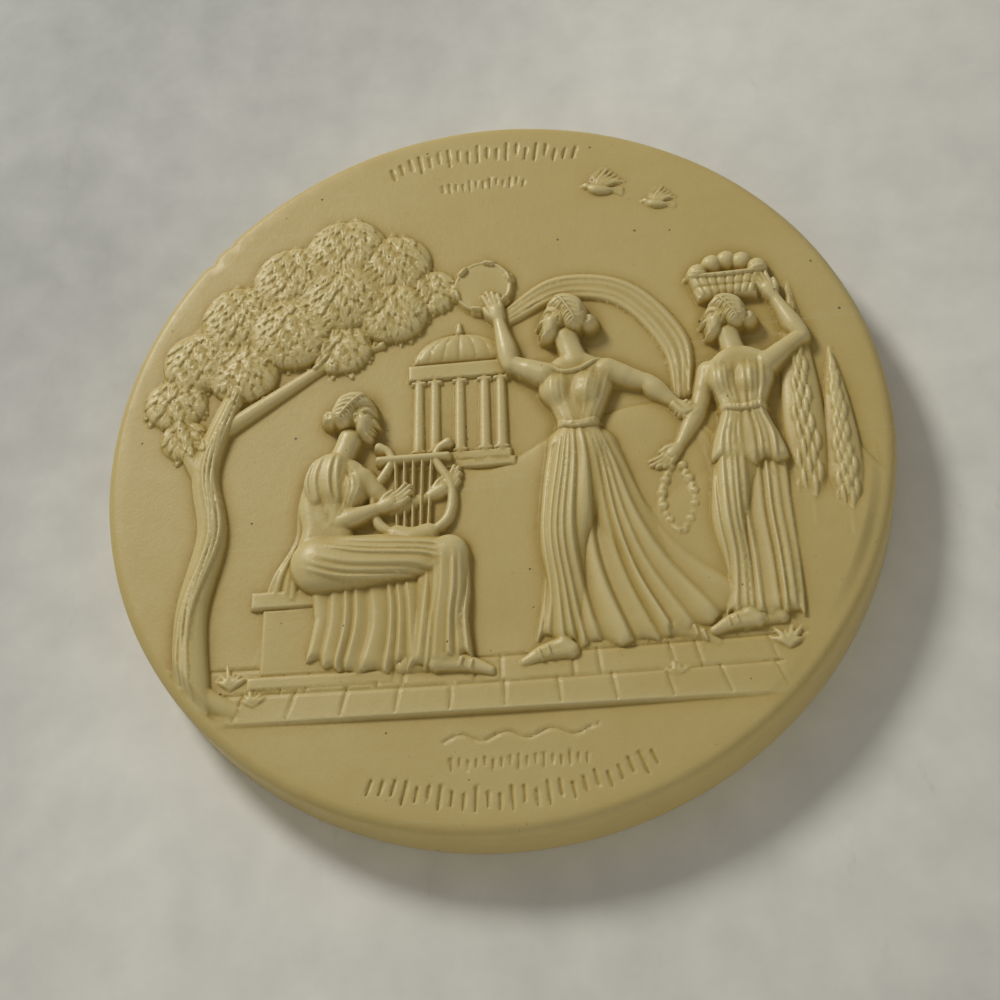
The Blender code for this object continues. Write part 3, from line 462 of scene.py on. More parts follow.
FACE_FORMS = [
    ([(0.17, -0.10, 0.20), (0.15, -0.24, 0.17)], 0.045),
    ([(0.215, 0.045, 0.10), (0.34, 0.03, 0.09)], -0.055),
    ([(0.245, 0.02, 0.062), (0.30, 0.012, 0.052)], 0.06),
    ([(0.18, 0.015, 0.012), (0.25, 0.062, 0.022), (0.335, 0.03, 0.014)], 0.034),
    ([(0.19, 0.0, 0.010), (0.26, -0.030, 0.016), (0.325, -0.012, 0.010)], 0.018),
    ([(0.20, 0.014, 0.010), (0.26, 0.034, 0.015), (0.325, 0.012, 0.010)], -0.02),
    ([(0.15, 0.10, 0.025), (0.27, 0.14, 0.038), (0.37, 0.115, 0.03)], 0.022),
    ([(0.38, -0.03, 0.05), (0.425, -0.12, 0.055)], 0.02),
    ([(0.385, -0.13, 0.034), (0.40, -0.135, 0.03)], 0.026),
    ([(0.362, -0.115, 0.012), (0.350, -0.142, 0.014), (0.366, -0.165, 0.012)], -0.02),
    ([(0.315, -0.252, 0.010), (0.36, -0.258, 0.018), (0.41, -0.262, 0.024)], -0.028),
    ([(0.32, -0.238, 0.010), (0.37, -0.226, 0.026), (0.41, -0.226, 0.030)], 0.02),
    ([(0.325, -0.276, 0.010), (0.37, -0.290, 0.028), (0.40, -0.292, 0.032)], 0.024),
    ([(0.31, -0.335, 0.03), (0.37, -0.34, 0.03)], -0.016),
    ([(0.31, -0.41, 0.07), (0.33, -0.42, 0.06)], 0.02)]
KNOT = (-0.52, -0.04)


def head(field, x, z, figure, facing, tilt, lift):
    """A head in profile, its hair drawn back into a knot. figure is the standing figure's height."""
    size = HEAD_SHARE * figure
    f = Frame(x, z, size, facing, tilt)
    swell(field, f.ring(FACE_OUTLINE), lift - 1.3, 0.35 * size, 0.26 * size, 0.3, 1.7, 1.4)
    for path, height in FACE_FORMS:
        press(field, f.cuts(path), height * size)
    swell(field, f.ring(HAIR_OUTLINE), lift + 0.03 * size, 0.3 * size, 0.22 * size, 0.1)
    stroke(field, f.rows([(*KNOT, 0.17), (KNOT[0] - 0.03, KNOT[1] + 0.02, 0.155)], lift), 1.1, 0.1)
    hair(field, f, size)


def hair(field, f, size):
    """Locks drawn from the face and the crown into the knot, a ribbon round them, and the ear."""
    smooth = field.z.copy()
    front = spline([(0.20, 0.40), (0.245, 0.305), (0.15, 0.19), (0.03, 0.10), (0.0, -0.02), (-0.08, -0.12),
                    (-0.17, -0.20)], 8)
    crown = spline([(0.0, 0.52), (-0.02, 0.44), (-0.06, 0.34), (-0.10, 0.24), (-0.14, 0.13), (-0.20, 0.0),
                    (-0.27, -0.11)], 8)
    nape = spline([(-0.34, 0.40), (-0.33, 0.32), (-0.33, 0.25), (-0.33, 0.17), (-0.33, 0.08), (-0.34, -0.01),
                   (-0.37, -0.09)], 8)
    locks = 13
    for k in range(locks):
        i = int(k / (locks - 1) * (len(front) - 1))
        r = 0.030 + 0.006 * math.sin(2.9 * k)
        end = (KNOT[0] + 0.09, KNOT[1] + 0.05 - 0.006 * k)
        lock = [(*front[i], 0.5 * r), (*crown[i], r), (*nape[i], 1.05 * r), (*end, 0.7 * r)]
        stroke(field, f.rows(lock, -0.014 * size), 1.4, 0.02, 8, smooth)
    for k in range(7):
        turn = 2 * math.pi * k / 7
        coil = [(KNOT[0] + reach * math.cos(turn + w), KNOT[1] + reach * math.sin(turn + w), r)
                for reach, w, r in ((0.02, 0, 0.02), (0.08, 0.5, 0.045), (0.14, 1.2, 0.035))]
        stroke(field, f.rows(coil, -0.01 * size), 1.2, 0.02, 8, smooth)
    ribbon = [(0.14, 0.47, 0.014), (0.0, 0.33, 0.02), (-0.13, 0.16, 0.02), (-0.26, -0.03, 0.018),
              (-0.32, -0.14, 0.012)]
    stroke(field, f.rows(ribbon, 0.035 * size), 0.8, 0.02, 8, smooth, 4)
    ear = [(0.06, -0.02, 0.02), (0.01, 0.01, 0.024), (-0.02, -0.05, 0.024), (0.0, -0.12, 0.022),
           (0.035, -0.15, 0.026)]
    stroke(field, f.rows(ear), 1.2, 0.02, 8, smooth)


def neck(field, f, base, top):
    """The neck from the shoulders to under the jaw."""
    base, top = np.array(base), np.array(top)
    middle = base * 0.45 + top * 0.55
    stroke(field, f.rows([(*base, 0.036, 1.6), (*middle, 0.030, 1.9), (*top, 0.032, 1.8)]), 0.8, 0.5)


def arm(field, f, shoulder, elbow, wrist, start, end):
    """A bare arm with its swell of muscle. start and end are its heights at the shoulder and the wrist."""
    s, e, w = (np.array(p) for p in (shoulder, elbow, wrist))
    shape = [(s, 0.033, 0), (s * 0.6 + e * 0.4, 0.0285, 0.3), (s * 0.15 + e * 0.85, 0.0235, 0.5),
             (e, 0.0235, 0.5), (e * 0.7 + w * 0.3, 0.026, 0.7), (e * 0.3 + w * 0.7, 0.019, 1), (w, 0.0145, 1)]
    rows = f.rows([(*p, r, start + (end - start) * t) for p, r, t in shape])
    stroke(field, rows[:2], 0.85, 1.6)
    stroke(field, rows, 0.85, 0.9)


def hand(field, f, wrist, angle, lift, curl=0.0, side=1):
    """An open hand from the wrist, pointing at angle degrees, its fingers bending by curl."""
    length = 0.10
    spread = 7
    ahead = direction(angle)
    across = np.array([-ahead[1], ahead[0]]) * side
    palm = np.array(wrist) + ahead * length * 0.36
    middle = np.array(wrist) + ahead * length * 0.2
    stroke(field, f.rows([(*wrist, 0.0145), (*middle, 0.019), (*palm, 0.020)], lift), 0.75, 0.15)
    for off, share in ((-1, 0.50), (-0.33, 0.58), (0.33, 0.54), (1, 0.43)):
        ahead_of_finger = direction(angle - side * off * spread)
        root = palm - across * off * 0.0135 + ahead * 0.004
        bend = across * curl * share * length
        half = root + ahead_of_finger * share * length / 2 + bend * 0.25
        tip = root + ahead_of_finger * share * length + bend
        stroke(field, f.rows([(*root, 0.0076), (*half, 0.007), (*tip, 0.0054)], lift + 0.25), 1.0, 0.05)
    root = np.array(wrist) + ahead * length * 0.16 + across * 0.011
    joint = root + direction(angle + side * 36) * length * 0.2
    tip = joint + (direction(angle + side * 36) + ahead) * length * 0.1
    stroke(field, f.rows([(*root, 0.009), (*joint, 0.0082), (*tip, 0.006)], lift + 0.3), 1.0, 0.08)


def fist(field, f, wrist, angle, lift):
    """A closed hand from the wrist, pointing at angle degrees, with the thumb over four curled fingers."""
    ahead = direction(angle)
    across = np.array([-ahead[1], ahead[0]])
    middle = np.array(wrist) + ahead * 0.034
    stroke(field, f.rows([(*wrist, 0.0145), (*middle, 0.023)], lift), 0.8, 0.15)
    for k in range(4):
        place = middle + ahead * (0.0125 * (k - 1.2))
        wide = 0.0185 - 0.002 * abs(k - 1)
        finger = [(*(place - across * wide), 0.0078), (*(place + across * wide), 0.0074)]
        stroke(field, f.rows(finger, lift + 0.75), 1.0, 0.05)
    thumb = [(*(np.array(wrist) + across * 0.010), 0.008), (*(middle + across * 0.012), 0.0085),
             (*(middle + ahead * 0.010 - across * 0.003), 0.007)]
    stroke(field, f.rows(thumb, lift + 1.25), 1.0, 0.05)


def direction(degrees):
    """The unit vector at an angle."""
    return np.array([math.cos(math.radians(degrees)), math.sin(math.radians(degrees))])


def foot(field, f, ankle, toe, lift):
    """A foot seen from the side, with two sandal straps."""
    a, t = np.array(ankle), np.array(toe)
    heel = a + (a - t) * 0.18 + np.array([0, -0.022])
    stroke(field, f.rows([(*a, 0.022, lift), (*heel, 0.021, lift)]), 0.85)
    for start in (heel, a):
        arch = start * 0.45 + t * 0.55 + np.array([0, 0.006])
        stroke(field, f.rows([(*start, 0.02, lift), (*arch, 0.016, lift), (*t, 0.011, lift)]), 0.85)
    smooth = field.z.copy()
    for share in (0.4, 0.62):
        x, z = a * (1 - share) + t * share
        stroke(field, f.rows([(x - 0.006, z - 0.012, 0.0045), (x, z + 0.008, 0.005)]), 1.1, 0.05, 8, smooth)


def bust(field, f, places, height):
    """The chest's forms at the given places."""
    for u, v in places:
        press(field, f.cuts([(u, v + 0.012, 0.042), (u + 0.004, v - 0.006, 0.044)]), height)


# The figures

def dancer(field, x, z, size, facing):
    """A dancing woman with a tambourine held up and a scarf behind her."""
    f = Frame(x, z, size, facing)
    scarf = [
        [(0.20, 1.00), (0.04, 1.10), (-0.16, 1.06), (-0.30, 0.88), (-0.30, 0.70)],
        [(0.17, 0.96), (0.03, 1.02), (-0.12, 0.99), (-0.23, 0.84), (-0.25, 0.68)]]
    tail = [
        [(-0.26, 0.66), (-0.36, 0.58), (-0.40, 0.46), (-0.50, 0.40)],
        [(-0.24, 0.64), (-0.30, 0.55), (-0.33, 0.42), (-0.40, 0.32)]]
    for cloth, count in ((scarf, 4), (tail, 3)):
        under = field.z.copy()
        swell(field, f.flat(ribbon_outline(cloth)), 0.0, 1.3, 2.4, 0.2)
        pleats(field, f, cloth, count, 1.1, under, 1.0, 0.01)
    foot(field, f, (-0.22, 0.085), (-0.31, 0.03), -0.4)
    foot(field, f, (0.055, 0.05), (0.15, 0.012), 0.6)
    under = field.z.copy()
    hem = waved([(0.118, 0.075), (0.0, 0.048), (-0.16, 0.046), (-0.30, 0.08), (-0.395, 0.155)], 8, 0.022)
    skirt_outline = [
        (-0.27, 0.26), (-0.18, 0.38), (-0.11, 0.53), (-0.06, 0.63), (0.058, 0.63), (0.092, 0.53),
        (0.108, 0.38), (0.098, 0.22), *hem]
    swell(field, f.ring(skirt_outline), 0.5, 1.5, 5.0, 0.2)
    front_leg = [(0.0, 0.57, 0.078, 0.2), (0.022, 0.44, 0.074, 0.7), (0.045, 0.32, 0.058, 1.3),
                 (0.042, 0.2, 0.044, 0.6), (0.05, 0.09, 0.034, 0.0)]
    rear_leg = [(-0.03, 0.56, 0.075, 0.0), (-0.10, 0.38, 0.064, -0.2), (-0.17, 0.24, 0.046, -0.5),
                (-0.23, 0.11, 0.03, -1.0)]
    stroke(field, f.rows(front_leg), 0.62, 1.6)
    stroke(field, f.rows(rear_leg), 0.55, 1.6)
    skirt = [
        [(0.055, 0.64), (0.10, 0.53), (0.112, 0.36), (0.10, 0.20), (0.125, 0.05)],
        [(0.022, 0.64), (0.035, 0.53), (0.058, 0.34), (0.04, 0.18), (0.02, 0.02)],
        [(-0.02, 0.64), (-0.045, 0.53), (-0.065, 0.35), (-0.10, 0.19), (-0.16, 0.02)],
        [(-0.06, 0.64), (-0.115, 0.53), (-0.185, 0.38), (-0.275, 0.25), (-0.42, 0.14)]]
    pleats(field, f, skirt, 12, 2.1, under, 0.5)
    torso = [
        (0.028, 0.845), (-0.02, 0.85), (-0.06, 0.83), (-0.105, 0.805), (-0.10, 0.755), (-0.078, 0.70),
        (-0.058, 0.63), (-0.078, 0.57), (0.07, 0.57), (0.048, 0.63), (0.062, 0.69), (0.092, 0.735),
        (0.088, 0.79), (0.06, 0.825)]
    swell(field, f.ring(torso), 1.2, 3.1, 3.4, 0.5)
    bust(field, f, ((0.048, 0.735), (-0.032, 0.732)), 1.4)
    neck(field, f, (-0.005, 0.82), (0.018, 0.90))
    bodice(field, f)
    head(field, *f.at(0.028, 0.945), size, facing, 6, 2.2)
    arm(field, f, (-0.085, 0.79), (-0.185, 0.745), (-0.255, 0.675), 1.4, 1.2)
    fist(field, f, (-0.255, 0.675), 225, 1.4)
    tambourine(field, *f.at(0.235, 1.085), 0.078 * size)
    arm(field, f, (0.078, 0.79), (0.165, 0.835), (0.192, 0.965), 2.2, 2.0)
    hand(field, f, (0.192, 0.965), 78, 2.0, 0.1, -1)


def bodice(field, f):
    """Folds gathered into the belt, a neckline and the belt itself."""
    low = np.zeros_like(field.z)
    behind = [[(-0.10, 0.81), (-0.085, 0.73), (-0.052, 0.65), (-0.05, 0.63)],
              [(-0.02, 0.795), (0.003, 0.71), (0.0, 0.65), (0.0, 0.63)]]
    before = [[(0.02, 0.79), (0.015, 0.71), (0.003, 0.65), (0.003, 0.63)],
              [(0.082, 0.81), (0.098, 0.73), (0.056, 0.65), (0.05, 0.63)]]
    pleats(field, f, behind, 6, 0.8, low, 0.3, 0.1)
    pleats(field, f, before, 5, 0.8, low, 1.3, 0.1)
    smooth = field.z.copy()
    neckline = [(-0.072, 0.822, 0.006), (-0.02, 0.79, 0.007), (0.03, 0.785, 0.007), (0.066, 0.812, 0.006)]
    stroke(field, f.rows(neckline, -0.1), 1.1, 0.1, 8, smooth)
    belt(field, f, -0.058, 0.049, 0.638)


def belt(field, f, behind, before, height):
    """A flat band round the waist."""
    middle = ((behind + before) / 2, height - 0.011, 0.011)
    band = [(behind, height, 0.010), middle, (before, height, 0.010)]
    stroke(field, f.rows(band, -0.25), 1.0, 0.1, 8, field.z.copy(), 4)


def tambourine(field, x, z, radius):
    """A round frame drum with a raised hoop."""
    turns = np.linspace(0, 2 * math.pi, 41)
    hoop = [(x + radius * math.cos(t), z + radius * math.sin(t)) for t in turns]
    swell(field, hoop[:-1], 0.8, 0.7, 1.2, 0.1)
    smooth = field.z.copy()
    stroke(field, [(*p, 0.9, -0.2) for p in hoop], 0.8, 0.1, 2, smooth)
    for k in range(6):
        turn = 60 * k + 17
        ends = (radius * direction(turn - 5), radius * direction(turn + 5))
        stroke(field, [(x + a, z + b, 1.1, 0.5) for a, b in ends], 0.8, 0.05, 8, smooth)


def musician(field, x, z, size, facing):
    """A woman on a stone bench, playing a lyre."""
    f = Frame(x, z, size, facing)
    bench(field, f)
    foot(field, f, (0.20, 0.055), (0.31, 0.018), 0.0)
    far_shin = [
        [(0.20, 0.345, 0.6), (0.285, 0.31, 0.4), (0.27, 0.18, 0.0), (0.275, 0.075, -0.4)],
        [(0.14, 0.30, 0.8), (0.20, 0.27, 0.6), (0.18, 0.16, 0.2), (0.16, 0.06, -0.4)]]
    folds(field, f, far_shin, 5, -0.2)
    foot(field, f, (0.285, 0.055), (0.40, 0.015), 1.2)
    under = field.z.copy()
    hem = waved([(0.25, 0.055), (0.17, 0.034), (0.08, 0.028), (0.0, 0.045), (-0.06, 0.075)], 6, 0.022)
    cloth = [(-0.045, 0.18), (-0.04, 0.275), (0.22, 0.275), (0.24, 0.16), *hem]
    swell(field, f.ring(cloth), 0.4, 2.0, 3.2)
    hanging_cloth = [
        [(0.25, 0.275), (0.262, 0.20), (0.27, 0.12), (0.28, 0.02)],
        [(0.11, 0.275), (0.12, 0.20), (0.115, 0.12), (0.10, 0.01)],
        [(-0.05, 0.275), (-0.055, 0.20), (-0.055, 0.13), (-0.08, 0.04)]]
    pleats(field, f, hanging_cloth, 9, 1.9, under, 0.9)
    under = field.z.copy()
    hem = waved([(0.355, 0.055), (0.28, 0.03), (0.195, 0.04)], 4, 0.02)
    cloth = [(0.215, 0.19), (0.225, 0.31), (0.335, 0.345), (0.352, 0.25), (0.346, 0.15), *hem]
    swell(field, f.ring(cloth), 1.2, 2.2, 3.0)
    shin = [(0.298, 0.33, 0.05, 2.4), (0.295, 0.20, 0.042, 2.2), (0.285, 0.09, 0.035, 1.2)]
    stroke(field, f.rows(shin), 0.6, 1.2)
    near_shin = [
        [(0.36, 0.34), (0.37, 0.24), (0.36, 0.15), (0.38, 0.03)],
        [(0.295, 0.345), (0.29, 0.24), (0.28, 0.15), (0.275, 0.01)],
        [(0.215, 0.29), (0.21, 0.22), (0.205, 0.14), (0.18, 0.02)]]
    pleats(field, f, near_shin, 7, 1.5, under, 2.2, 0.2)
    under = field.z.copy()
    thigh = [(-0.03, 0.325, 0.082, 1.2), (0.08, 0.325, 0.072, 1.8), (0.20, 0.33, 0.060, 2.0),
             (0.285, 0.325, 0.050, 1.8)]
    stroke(field, f.rows(thigh), 0.62, 1.2)
    lap = [
        [(0.0, 0.42), (0.10, 0.405), (0.20, 0.40), (0.30, 0.385), (0.36, 0.33)],
        [(-0.05, 0.36), (0.06, 0.33), (0.16, 0.32), (0.25, 0.31), (0.33, 0.27)],
        [(-0.12, 0.28), (-0.02, 0.245), (0.06, 0.24), (0.15, 0.25), (0.26, 0.24)]]
    pleats(field, f, lap, 8, 1.7, under, 0.4, 0.2)
    torso = [
        (0.05, 0.618), (-0.005, 0.628), (-0.05, 0.60), (-0.085, 0.55), (-0.095, 0.48), (-0.085, 0.42),
        (-0.095, 0.36), (-0.06, 0.30), (0.05, 0.32), (0.055, 0.39), (0.05, 0.43), (0.075, 0.48),
        (0.095, 0.525), (0.085, 0.58)]
    swell(field, f.ring(torso), 1.2, 3.2, 3.4, 0.6)
    bust(field, f, ((0.05, 0.518),), 1.3)
    dress = [
        [(0.07, 0.61), (0.105, 0.53), (0.07, 0.46), (0.06, 0.40)],
        [(-0.06, 0.60), (-0.04, 0.53), (-0.04, 0.46), (-0.06, 0.40)]]
    pleats(field, f, dress, 8, 1.2, np.zeros_like(field.z), 0.7, 0.1, 0.4)
    cloak = [
        [(0.02, 0.628, 3.4), (-0.05, 0.585, 3.0), (-0.09, 0.50, 2.0), (-0.10, 0.40, 1.4), (-0.15, 0.30, 1.2),
         (-0.17, 0.23, 0.4)],
        [(0.03, 0.60, 3.6), (0.0, 0.55, 3.6), (-0.04, 0.47, 3.2), (-0.065, 0.39, 2.8), (-0.08, 0.31, 2.2),
         (-0.085, 0.245, 1.2)]]
    folds(field, f, cloak, 6, -0.6)
    neck(field, f, (0.01, 0.61), (0.035, 0.68))
    arm(field, f, (0.07, 0.56), (0.15, 0.47), (0.25, 0.50), 1.2, 0.6)
    lyre(field, f)
    hand(field, f, (0.25, 0.50), 25, 1.6, 0.5)
    arm(field, f, (-0.025, 0.555), (0.015, 0.435), (0.115, 0.468), 2.3, 3.0)
    hand(field, f, (0.115, 0.468), 20, 3.0, 0.3)
    under = field.z.copy()
    cloth = [(-0.01, 0.637), (-0.06, 0.61), (-0.082, 0.55), (-0.066, 0.492), (-0.045, 0.478), (-0.02, 0.486),
             (0.006, 0.474), (0.03, 0.492), (0.042, 0.56), (0.03, 0.62)]
    swell(field, f.ring(cloth), 2.6, 3.3, 4.2, 0.5)
    sleeve = [
        [(-0.06, 0.64), (-0.095, 0.56), (-0.08, 0.47)],
        [(0.0, 0.65), (-0.02, 0.56), (-0.01, 0.46)],
        [(0.04, 0.635), (0.05, 0.56), (0.05, 0.48)]]
    pleats(field, f, sleeve, 5, 1.5, under, 1.9, 0.25)
    head(field, *f.at(0.055, 0.735), size, facing, -8, 2.2)


def bench(field, f):
    """A stone bench: plinth, body and seat slab, each with its own overhang."""
    for v0, v1, back, front, lift in ((0.0, 0.035, -0.21, 0.16, 0.2), (0.035, 0.215, -0.18, 0.12, -0.2),
                                      (0.215, 0.262, -0.21, 0.16, 0.5)):
        corners = [(back, v0), (front, v0), (front, v1), (back, v1)]
        swell(field, f.flat(corners), lift, 0.9, 0.8, 0.1)


def lyre(field, f):
    """A lyre with two curved horns, a crossbar and a sound box."""
    middle = 0.205
    horn = ((0.185, 0.375, 0.016), (0.115, 0.43, 0.014), (0.105, 0.52, 0.012), (0.145, 0.60, 0.011),
            (0.138, 0.635, 0.010), (0.114, 0.65, 0.013))
    for side in (1, -1):
        stroke(field, f.rows([(middle + side * (middle - u), v, r, 1.7) for u, v, r in horn]), 1.0, 0.15)
    stroke(field, f.rows([(0.115, 0.61, 0.010, 2.2), (0.295, 0.61, 0.010, 2.2)]), 1.0, 0.1)
    stroke(field, f.rows([(0.165, 0.39, 0.03, 1.7), (0.205, 0.375, 0.036, 1.8), (0.245, 0.39, 0.03, 1.7)]))
    for k in range(5):
        low = middle + 0.02 * (k - 2)
        high = middle + 0.024 * (k - 2)
        stroke(field, f.rows([(low, 0.40, 0.0032, 2.2), (high, 0.61, 0.0032, 2.4)]), 1.0, 0.02)


def bearer(field, x, z, size, facing):
    """A woman standing in a long belted robe, a basket of fruit on her head and a garland in her hand."""
    f = Frame(x, z, size, facing)
    foot(field, f, (-0.035, 0.055), (0.045, 0.018), 0.0)
    foot(field, f, (0.03, 0.05), (0.125, 0.012), 0.9)
    under = field.z.copy()
    hem = waved([(0.09, 0.055), (0.0, 0.038), (-0.11, 0.052)], 5, 0.02)
    robe_outline = [
        (-0.115, 0.22), (-0.11, 0.38), (-0.105, 0.50), (-0.078, 0.60), (0.075, 0.60), (0.088, 0.50),
        (0.082, 0.34), (0.078, 0.2), *hem]
    swell(field, f.ring(robe_outline), 0.5, 2.0, 3.2, 0.3)
    bent_leg = [(0.02, 0.52, 0.06, 1.0), (0.05, 0.40, 0.052, 1.5), (0.062, 0.30, 0.042, 1.9),
                (0.045, 0.18, 0.032, 1.0), (0.035, 0.08, 0.026, 0.4)]
    stroke(field, f.rows(bent_leg), 0.6, 1.4)
    robe = [
        [(0.085, 0.60), (0.10, 0.48), (0.10, 0.32), (0.085, 0.18), (0.105, 0.02)],
        [(0.01, 0.60), (0.01, 0.48), (0.01, 0.34), (0.0, 0.2), (0.0, 0.0)],
        [(-0.085, 0.60), (-0.115, 0.48), (-0.12, 0.34), (-0.125, 0.2), (-0.13, 0.02)]]
    pleats(field, f, robe, 9, 1.9, under, 0.2)
    under = field.z.copy()
    torso = [
        (0.03, 0.845), (-0.02, 0.85), (-0.06, 0.835), (-0.10, 0.805), (-0.098, 0.75), (-0.078, 0.70),
        (-0.068, 0.64), (-0.10, 0.55), (-0.112, 0.495), (-0.08, 0.478), (-0.05, 0.492), (-0.02, 0.47),
        (0.012, 0.486), (0.04, 0.474), (0.066, 0.496), (0.092, 0.50), (0.083, 0.56),
        (0.058, 0.64), (0.068, 0.70), (0.092, 0.74), (0.088, 0.79), (0.06, 0.825)]
    swell(field, f.ring(torso), 2.2, 2.6, 3.0, 0.3)
    bust(field, f, ((0.05, 0.738), (-0.028, 0.735)), 1.25)
    over_fold = [
        [(0.095, 0.82), (0.10, 0.72), (0.068, 0.64), (0.095, 0.56), (0.10, 0.47)],
        [(0.01, 0.80), (0.008, 0.72), (0.0, 0.64), (0.0, 0.56), (0.005, 0.44)],
        [(-0.105, 0.82), (-0.10, 0.72), (-0.078, 0.64), (-0.11, 0.56), (-0.12, 0.47)]]
    pleats(field, f, over_fold, 10, 1.3, under, 0.8, 0.1)
    belt(field, f, -0.072, 0.06, 0.655)
    neck(field, f, (0.0, 0.82), (0.018, 0.90))
    arm(field, f, (0.08, 0.785), (0.12, 0.66), (0.175, 0.565), 1.0, 1.2)
    hand(field, f, (0.175, 0.565), -50, 1.2, 0.3)
    garland = spline([(0.20, 0.52), (0.235, 0.40), (0.19, 0.30), (0.145, 0.40), (0.18, 0.52)], 6)
    for k, (u, v) in enumerate(garland[:-1]):
        r = 0.013 + 0.003 * (k % 2)
        stroke(field, f.rows([(u, v, r, 0.4), (u + 0.004, v - 0.004, 0.012, 0.4)]), 1.0, 0.05, 2)
    head(field, *f.at(0.028, 0.945), size, facing, 2, 2.2)
    basket(field, f)
    arm(field, f, (-0.085, 0.79), (-0.185, 0.87), (-0.125, 1.005), 2.4, 2.0)
    hand(field, f, (-0.125, 1.005), 62, 2.2, 0.1)


def basket(field, f):
    """A shallow basket heaped with round fruit."""
    for k in range(5):
        u = -0.085 + 0.0425 * k
        v = 1.15 - 0.035 * (k / 2 - 1) ** 2
        stroke(field, f.rows([(u, v, 0.029, 1.2), (u + 0.003, v, 0.028, 1.2)]), 0.9, 0.1, 2)
    sides = f.flat([(-0.075, 1.02), (0.09, 1.02), (0.118, 1.105), (-0.103, 1.105)])
    swell(field, sides, 1.4, 2.0, 2.4, 0.1)
    rim = [(-0.107, 1.103, 0.010), (0.008, 1.095, 0.011), (0.122, 1.103, 0.010)]
    stroke(field, f.rows(rim), 0.9, 0.1, 8, field.z.copy())
    for k in range(9):
        low, high = -0.07 + 0.0194 * k, -0.097 + 0.0263 * k
        press(field, f.cuts([(low, 1.03, 0.006), (high, 1.088, 0.006)]), -0.35)
    press(field, f.cuts([(-0.085, 1.058, 0.006), (0.1, 1.058, 0.006)]), -0.35)


# What stands round the figures

def tree(field):
    """An old olive tree at the left, with its crown over the musician."""
    foot_z = GROUND_LINE + 6
    trunk = [(-78, foot_z, 5.2, 0.2), (-80, -45, 4.4, 0.3), (-76, -22, 4.2, 0.4), (-79, -2, 3.8, 0.4),
             (-73, 18, 3.2, 0.4), (-66, 34, 2.4, 0.3)]
    branches = [
        [(-79, -6, 3.0, 0.3), (-86, 8, 2.3, 0.3), (-89, 22, 1.6, 0.2)],
        [(-75, 10, 2.6, 0.4), (-60, 20, 2.0, 0.4), (-44, 30, 1.5, 0.2), (-30, 34, 1.0, 0.2)],
        [(-68, 30, 2.2, 0.4), (-58, 44, 1.7, 0.3), (-46, 54, 1.2, 0.2)],
        [(-78, foot_z + 2, 3.6, 0.0), (-86, foot_z - 3, 2.0, -0.4)],
        [(-76, foot_z + 2, 3.6, 0.0), (-67, foot_z - 2, 2.0, -0.4)]]
    stroke(field, trunk, 0.62, 0.5)
    for branch in branches:
        stroke(field, branch, 0.65, 0.6, 6)
    smooth = field.z.copy()
    for k in range(5):
        off = (k - 2) / 2
        cord = [(x + off * r * 0.75 * math.cos(i * 0.9 + k), z, 0.55, -0.05)
                for i, (x, z, r, _) in enumerate(trunk)]
        stroke(field, cord, 1.0, 0.1, 8, smooth)
    lobes = [
        (-89, 20, 8, 0.2), (-83, 33, 9.5, 0.6), (-71, 46, 11, 0.3), (-70, 28, 9, 0.9), (-56, 58, 11, 0.6),
        (-56, 40, 11, 1.2), (-41, 66, 11, 0.4), (-42, 50, 10.5, 1.3), (-27, 60, 10, 0.5), (-27, 44, 9, 0.9),
        (-16, 50, 7, 0.2), (-42, 34, 8, 0.5), (-86, 8, 6, 0.1)]
    for x, z, size, lift in lobes:
        ends = [(x - 0.12 * size, z, size, lift), (x + 0.12 * size, z, size, lift)]
        stroke(field, ends, 0.2, 0.5, 2)
    smooth = field.z.copy()
    for k, lobe in enumerate(lobes):
        leaves(field, lobe, lobes[k + 1:], smooth, 1.7 * k)


def leaves(field, lobe, later, smooth, seed):
    """Leaves that hang down and outwards over one lobe and overlap like scales, clear of the later lobes."""
    x, z, size, _ = lobe
    gap = 2.35
    rows = int(size / gap) + 1
    for j in range(rows, -rows - 1, -1):
        for i in range(-rows, rows + 1):
            u = (i + 0.5 * (j % 2) + 0.3 * math.sin(2.3 * i + 1.9 * j + seed)) * gap
            v = (j + 0.3 * math.sin(3.7 * i - 1.3 * j + seed)) * gap * 0.85
            covered = any(math.hypot(x + u - a, z + v - b) < 0.88 * r for a, b, r, _ in later)
            if math.hypot(u, v) > 1.02 * size or covered:
                continue
            out = np.array([0.8 * u / size, 0.45 * v / size - 0.85])
            out = out / np.hypot(*out)
            wide = 1.22 + 0.22 * math.sin(1.7 * i + 2.9 * j + seed)
            middle = np.array([x + u, z + v])
            root, tip = middle - out * 1.8, middle + out * 2.1
            buried = -0.55 if math.hypot(u, v) < 0.85 * size else -0.05
            leaf = [(*root, wide * 0.6, buried), (*middle, wide, 0.0), (*tip, wide * 0.3, 0.45)]
            stroke(field, leaf, 0.4, 0.03, 3, smooth)
            vein = [(*(root + out), 0.28), (*(tip - out * 0.4), 0.22)]
            press(field, vein, -0.16, 2)


